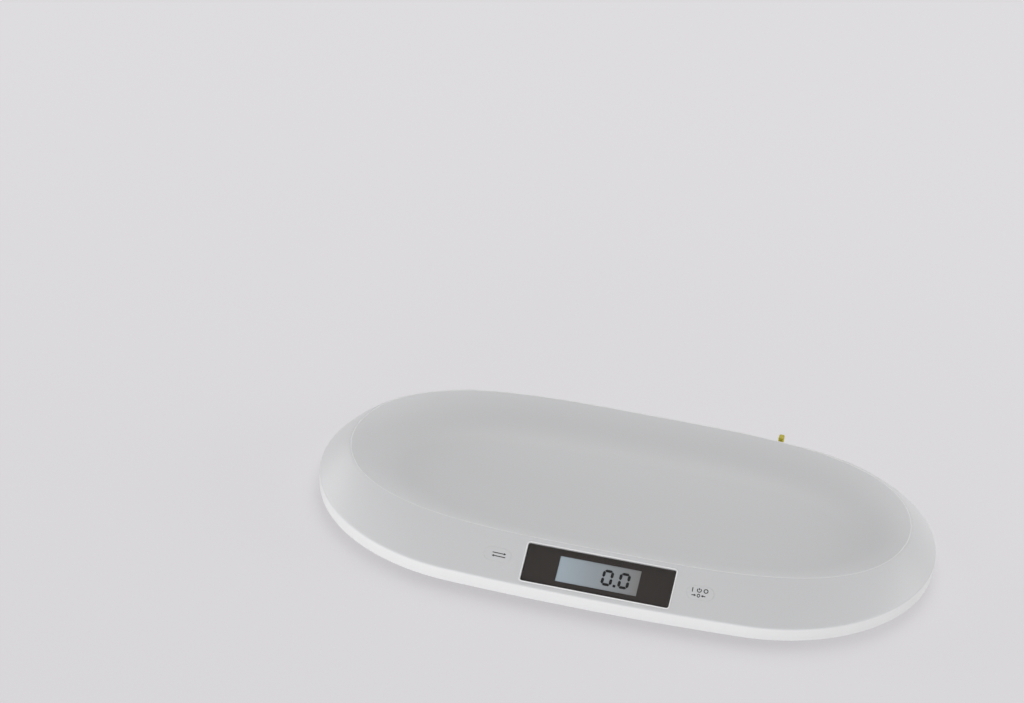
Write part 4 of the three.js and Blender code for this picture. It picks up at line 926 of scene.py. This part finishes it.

# %% [markdown]
# ### The display
# Behind the clear window lies a film that is printed a warm near-black. The liquid crystal glass is plain
# grey on its right, and towards its left side it is painted cooler and brighter as painted light.

# %% Window, film and glass
GLASS_FADE = 72 * MM
clear_window = Finish("clear_window", (0.03, 0.028, 0.027), 0.04)
clear_window.set("Alpha", 0.1)
clear_window.waver(40, 0.02, 0.03)
dark_film = Finish("dark_film", (0.035, 0.029, 0.027), 0.4)
dark_film.tint(dark_film.noise(60), (0.05, 0.042, 0.038), (0.06, 0.051, 0.046))
liquid_crystal = Finish("liquid_crystal", (0.4, 0.44, 0.45), 0.3)
# painted light: the glass brightens and turns cooler from its right side to its left
painted_light_across_glass = (liquid_crystal.place("X") + GLASS_FADE / 2) * (1 / GLASS_FADE)
liquid_crystal.tint(painted_light_across_glass, (0.66, 0.78, 0.87), (0.4, 0.395, 0.395))
black_ink = Finish("black_ink", (0.012, 0.012, 0.013), 0.45)
black_ink.waver(300, 0.1, 0.4)
black_plastic = Finish("black_plastic", (0.02, 0.02, 0.021), 0.5)
black_plastic.waver(700, 0.2, 0.4)
black_plastic.bump(black_plastic.noise(1500), 0.2, 0.0002)

# %% [markdown]
# ### Metals, rubber and the board
# Sheet steel shows the direction in which it was rolled, so its noise is stretched along one axis. Rubber is
# rough with a fine grain, and the board has a solder mask over copper that shows as paler lines.

# %% Inner materials
ROLLED_GRAIN = (40, 900, 900)
TRACK_PITCH = 4 * MM
TRACK_WIDTH = 1.2 * MM
SLEEVE_END = 12 * MM
steel = Finish("zinc_steel", (0.58, 0.59, 0.61), 0.3, metallic=1.0)
rolled = steel.node("VectorMath", {"operation": "MULTIPLY"}, {0: steel.place(), 1: ROLLED_GRAIN})
steel_grain = steel.node("TexNoise", sockets={"Vector": rolled, "Scale": 1.0, "Detail": 2.0})
steel.set("Roughness", steel_grain * 0.2 + 0.2)
nickel = Finish("spring_nickel", (0.66, 0.63, 0.57), 0.22, metallic=1.0)
nickel.waver(400, 0.15, 0.15)
soft_rubber = Finish("soft_rubber", (0.11, 0.11, 0.115), 0.85)
soft_rubber.tint(soft_rubber.noise(120), (0.09, 0.09, 0.095), (0.13, 0.13, 0.135))
soft_rubber.bump(soft_rubber.noise(900), 0.4, 0.0003)
green_board = Finish("green_board", (0.02, 0.13, 0.06), 0.35)
tracks = (green_board.place("X") % TRACK_PITCH).below(TRACK_WIDTH)
green_board.tint(tracks, (0.02, 0.12, 0.055), (0.035, 0.2, 0.09))
cell_sleeve = Finish("cell_sleeve", (0.04, 0.05, 0.07), 0.35)
cell_sleeve.tint(cell_sleeve.place("X").above(SLEEVE_END), (0.035, 0.045, 0.065), (0.5, 0.42, 0.25))
red_wire = Finish("red_wire", (0.45, 0.03, 0.025), 0.5)
red_wire.waver(500, 0.2, 0.4)

# %% [markdown]
# ### The tape and its tab
# The tape is coated cloth: cream, with a weave that is just felt. Its centimetre and millimetre lines grow
# from its lower edge. The tab is a glossy olive yellow.

# %% Tape materials
TAPE_CREAM = (0.8, 0.79, 0.74)
cream_tape = Finish("cream_tape", TAPE_CREAM, 0.55)
run = cream_tape.place("Y") - tab_low.y
up_tape = cream_tape.place("Z")


def tape_lines(pitch, width, height):
    """1 on lines of that pitch and width that grow from the tape's lower edge, and 0 beside them."""
    return (run % pitch).below(width) * up_tape.below(blade_low.z + height)


marks = tape_lines(MM, 0.2 * MM, 1.6 * MM) + tape_lines(CENTIMETRE, 0.4 * MM, 3 * MM)
cream_tape.tint(marks.above(0.5), TAPE_CREAM, (0.55, 0.05, 0.05))
cream_tape.bump(cream_tape.noise(2500), 0.15, 0.0001)
red_ink = Finish("red_ink", (0.55, 0.04, 0.04), 0.5)
red_ink.waver(400, 0.1, 0.45)
yellow_tab = Finish("yellow_tab", (0.55, 0.47, 0.03), 0.28)
yellow_tab.tint(yellow_tab.noise(80), (0.52, 0.44, 0.03), (0.6, 0.52, 0.04))

# %% [markdown]
# ### A material for everything
# Solids and pieces find their finish by how their names start, so one table serves both. The script stops
# at a name that the table doesn't cover.

# %% Give each piece and solid its material
FINISHES = (
    (gloss_white, ("top_tray", "tray_skin", "unit_button", "power_button", "unit_key_cap", "power_key_cap")),
    (lip_painted_highlight, ("lip_bead",)),
    (window_painted_highlight, ("window_bead",)),
    (satin_white, ("bottom_cover", "battery_door", "tape_case", "foot_cup", "round_cup", "sensor_clamp")),
    (clear_window, ("display_lens", "clear_pane")),
    (dark_film, ("display_mask", "printed_film")),
    (liquid_crystal, ("lcd_glass", "glass_face")),
    (black_ink, ("lcd_digits", "power_sign", "unit_sign")),
    (black_plastic, ("lcd_holder", "control_chip", "unit_switch", "power_switch", "tape_reel")),
    (steel, ("load_cell", "cover_screw", "round_screw", "return_spring", "reel_pin")),
    (nickel, ("battery_link", "spring_terminal", "button_terminal")),
    (soft_rubber, ("foot_pad", "round_pad", "zebra_strip", "unit_seal", "power_seal")),
    (green_board, ("main_board",)),
    (cell_sleeve, ("battery_cell",)),
    (red_wire, ("sensor_lead", "battery_lead")),
    (cream_tape, ("tape_coil", "tape_blade")),
    (red_ink, ("tape_numerals",)),
    (yellow_tab, ("tape_tab",)),
)
for name, thing in {**frame["nodes"], **pieces}.items():
    material = next(finish.material for finish, starts in FINISHES if name.startswith(starts))
    if thing.material_slots:
        for place in thing.material_slots:
            place.material = material
    else:
        thing.data.materials.append(material)
print("materials:", len(bpy.data.materials))

# %% [markdown]
# ## The floor, the light and the camera
# The floor is plain and pale. To the camera, and to rays that come by a reflection or through the window, it
# mixes its lit colour with an even tone, so it stays pale while the shadow under the scale shows.

# %% Floor
FLOOR_HALF = 12.0
EVEN_TONE = (0.82, 0.8, 0.825)
EVEN_SHARE = 0.6
floor_corners = [(-FLOOR_HALF, -FLOOR_HALF, 0), (FLOOR_HALF, -FLOOR_HALF, 0), (FLOOR_HALF, FLOOR_HALF, 0),
                 (-FLOOR_HALF, FLOOR_HALF, 0)]
floor = mesh_object("studio_floor", floor_corners, [(0, 1, 2, 3)])
floor_finish = Finish("pale_floor", (0.7, 0.7, 0.71), 0.9)
camera_ray = floor_finish.node("LightPath", output="Is Camera Ray")
glossy_ray = floor_finish.node("LightPath", output="Is Glossy Ray")
through_ray = floor_finish.node("LightPath", output="Is Transmission Ray")
share = (camera_ray + glossy_ray + through_ray) * EVEN_SHARE
lit = Wire(floor_finish.tree, floor_finish.shader.outputs[0])
even_tone = floor_finish.node("Emission", sockets={"Color": (*EVEN_TONE, 1)})
blend = floor_finish.node("MixShader", sockets={0: share, 1: lit, 2: even_tone})
feed(floor_finish.tree, floor_finish.tree.nodes["Material Output"].inputs["Surface"], blend)
floor.data.materials.append(floor_finish.material)

# %% [markdown]
# ### Lamps
# Three broad lamps stand low in front and at both ends, so that the upright skirt and the ends of the slope
# are brighter than its middle. A fourth hangs behind and fills the basin, and a weak white world lifts the
# shadows.

# %% World and lamps
WORLD_STRENGTH = 0.32
LAMP_DISTANCE = 2.4
# azimuth from the front and elevation in degrees, width and height in metres, and power in watts
LAMPS = {
    "front_lamp": (-10, 5, 1.2, 0.36, 26),
    "left_lamp": (-104, 13, 1.8, 1.0, 16),
    "right_lamp": (104, 13, 1.8, 1.0, 20),
    "rear_lamp": (180, 55, 1.8, 1.8, 20),
}
world = bpy.data.worlds.new("studio")
bpy.context.scene.world = world
world.use_nodes = True
background = world.node_tree.nodes["Background"]
background.inputs["Color"].default_value = (1, 1, 1, 1)
background.inputs["Strength"].default_value = WORLD_STRENGTH
for name, (azimuth, elevation, width, height, power) in LAMPS.items():
    lamp_data = bpy.data.lights.new(name, "AREA")
    lamp_data.shape = "RECTANGLE"
    lamp_data.size = width
    lamp_data.size_y = height
    lamp_data.energy = power
    lamp = bpy.data.objects.new(name, lamp_data)
    turn, rise = math.radians(azimuth), math.radians(elevation)
    way = Vector((math.sin(turn) * math.cos(rise), -math.cos(turn) * math.cos(rise), math.sin(rise)))
    lamp.location = way * LAMP_DISTANCE
    lamp.rotation_euler = way.to_track_quat("Z", "Y").to_euler()
    lamp.visible_camera = False
    bpy.context.scene.collection.objects.link(lamp)
print("lamps:", len(LAMPS))

# %% [markdown]
# ### Camera
# The camera looks from the front and above with a long lens, a little from the right. Its place was worked
# out from the outline of the scale in the picture: the ends, the lip, the foot and the window's corners.

# %% Camera
PICTURE_WIDTH = 1024
AZIMUTH, ELEVATION, ROLL = (math.radians(angle) for angle in (-8.878, 29.71, 6.101))
DISTANCE = 4.762
FOCAL_PIXELS = 5150.4
AIM = Vector((-0.153141, 0.229523, 0.02))
SENSOR = 36.0
forward = Vector((math.sin(AZIMUTH) * math.cos(ELEVATION), math.cos(AZIMUTH) * math.cos(ELEVATION),
                  -math.sin(ELEVATION)))
level_right = Vector((math.cos(AZIMUTH), -math.sin(AZIMUTH), 0))
level_up = level_right.cross(forward)
right = level_right * math.cos(ROLL) + level_up * math.sin(ROLL)
up = level_up * math.cos(ROLL) - level_right * math.sin(ROLL)
camera_data = bpy.data.cameras.new("picture_camera")
camera_data.sensor_width = SENSOR
camera_data.lens = FOCAL_PIXELS * SENSOR / PICTURE_WIDTH
camera_data.clip_end = 100
camera = bpy.data.objects.new("picture_camera", camera_data)
camera_axes = Matrix((right, up, -forward)).transposed().to_4x4()
camera.matrix_world = Matrix.Translation(AIM - forward * DISTANCE) @ camera_axes
bpy.context.scene.collection.objects.link(camera)
bpy.context.scene.camera = camera
bpy.context.scene.view_settings.view_transform = "Standard"
print("the lens is", round(camera_data.lens, 1), "mm long")
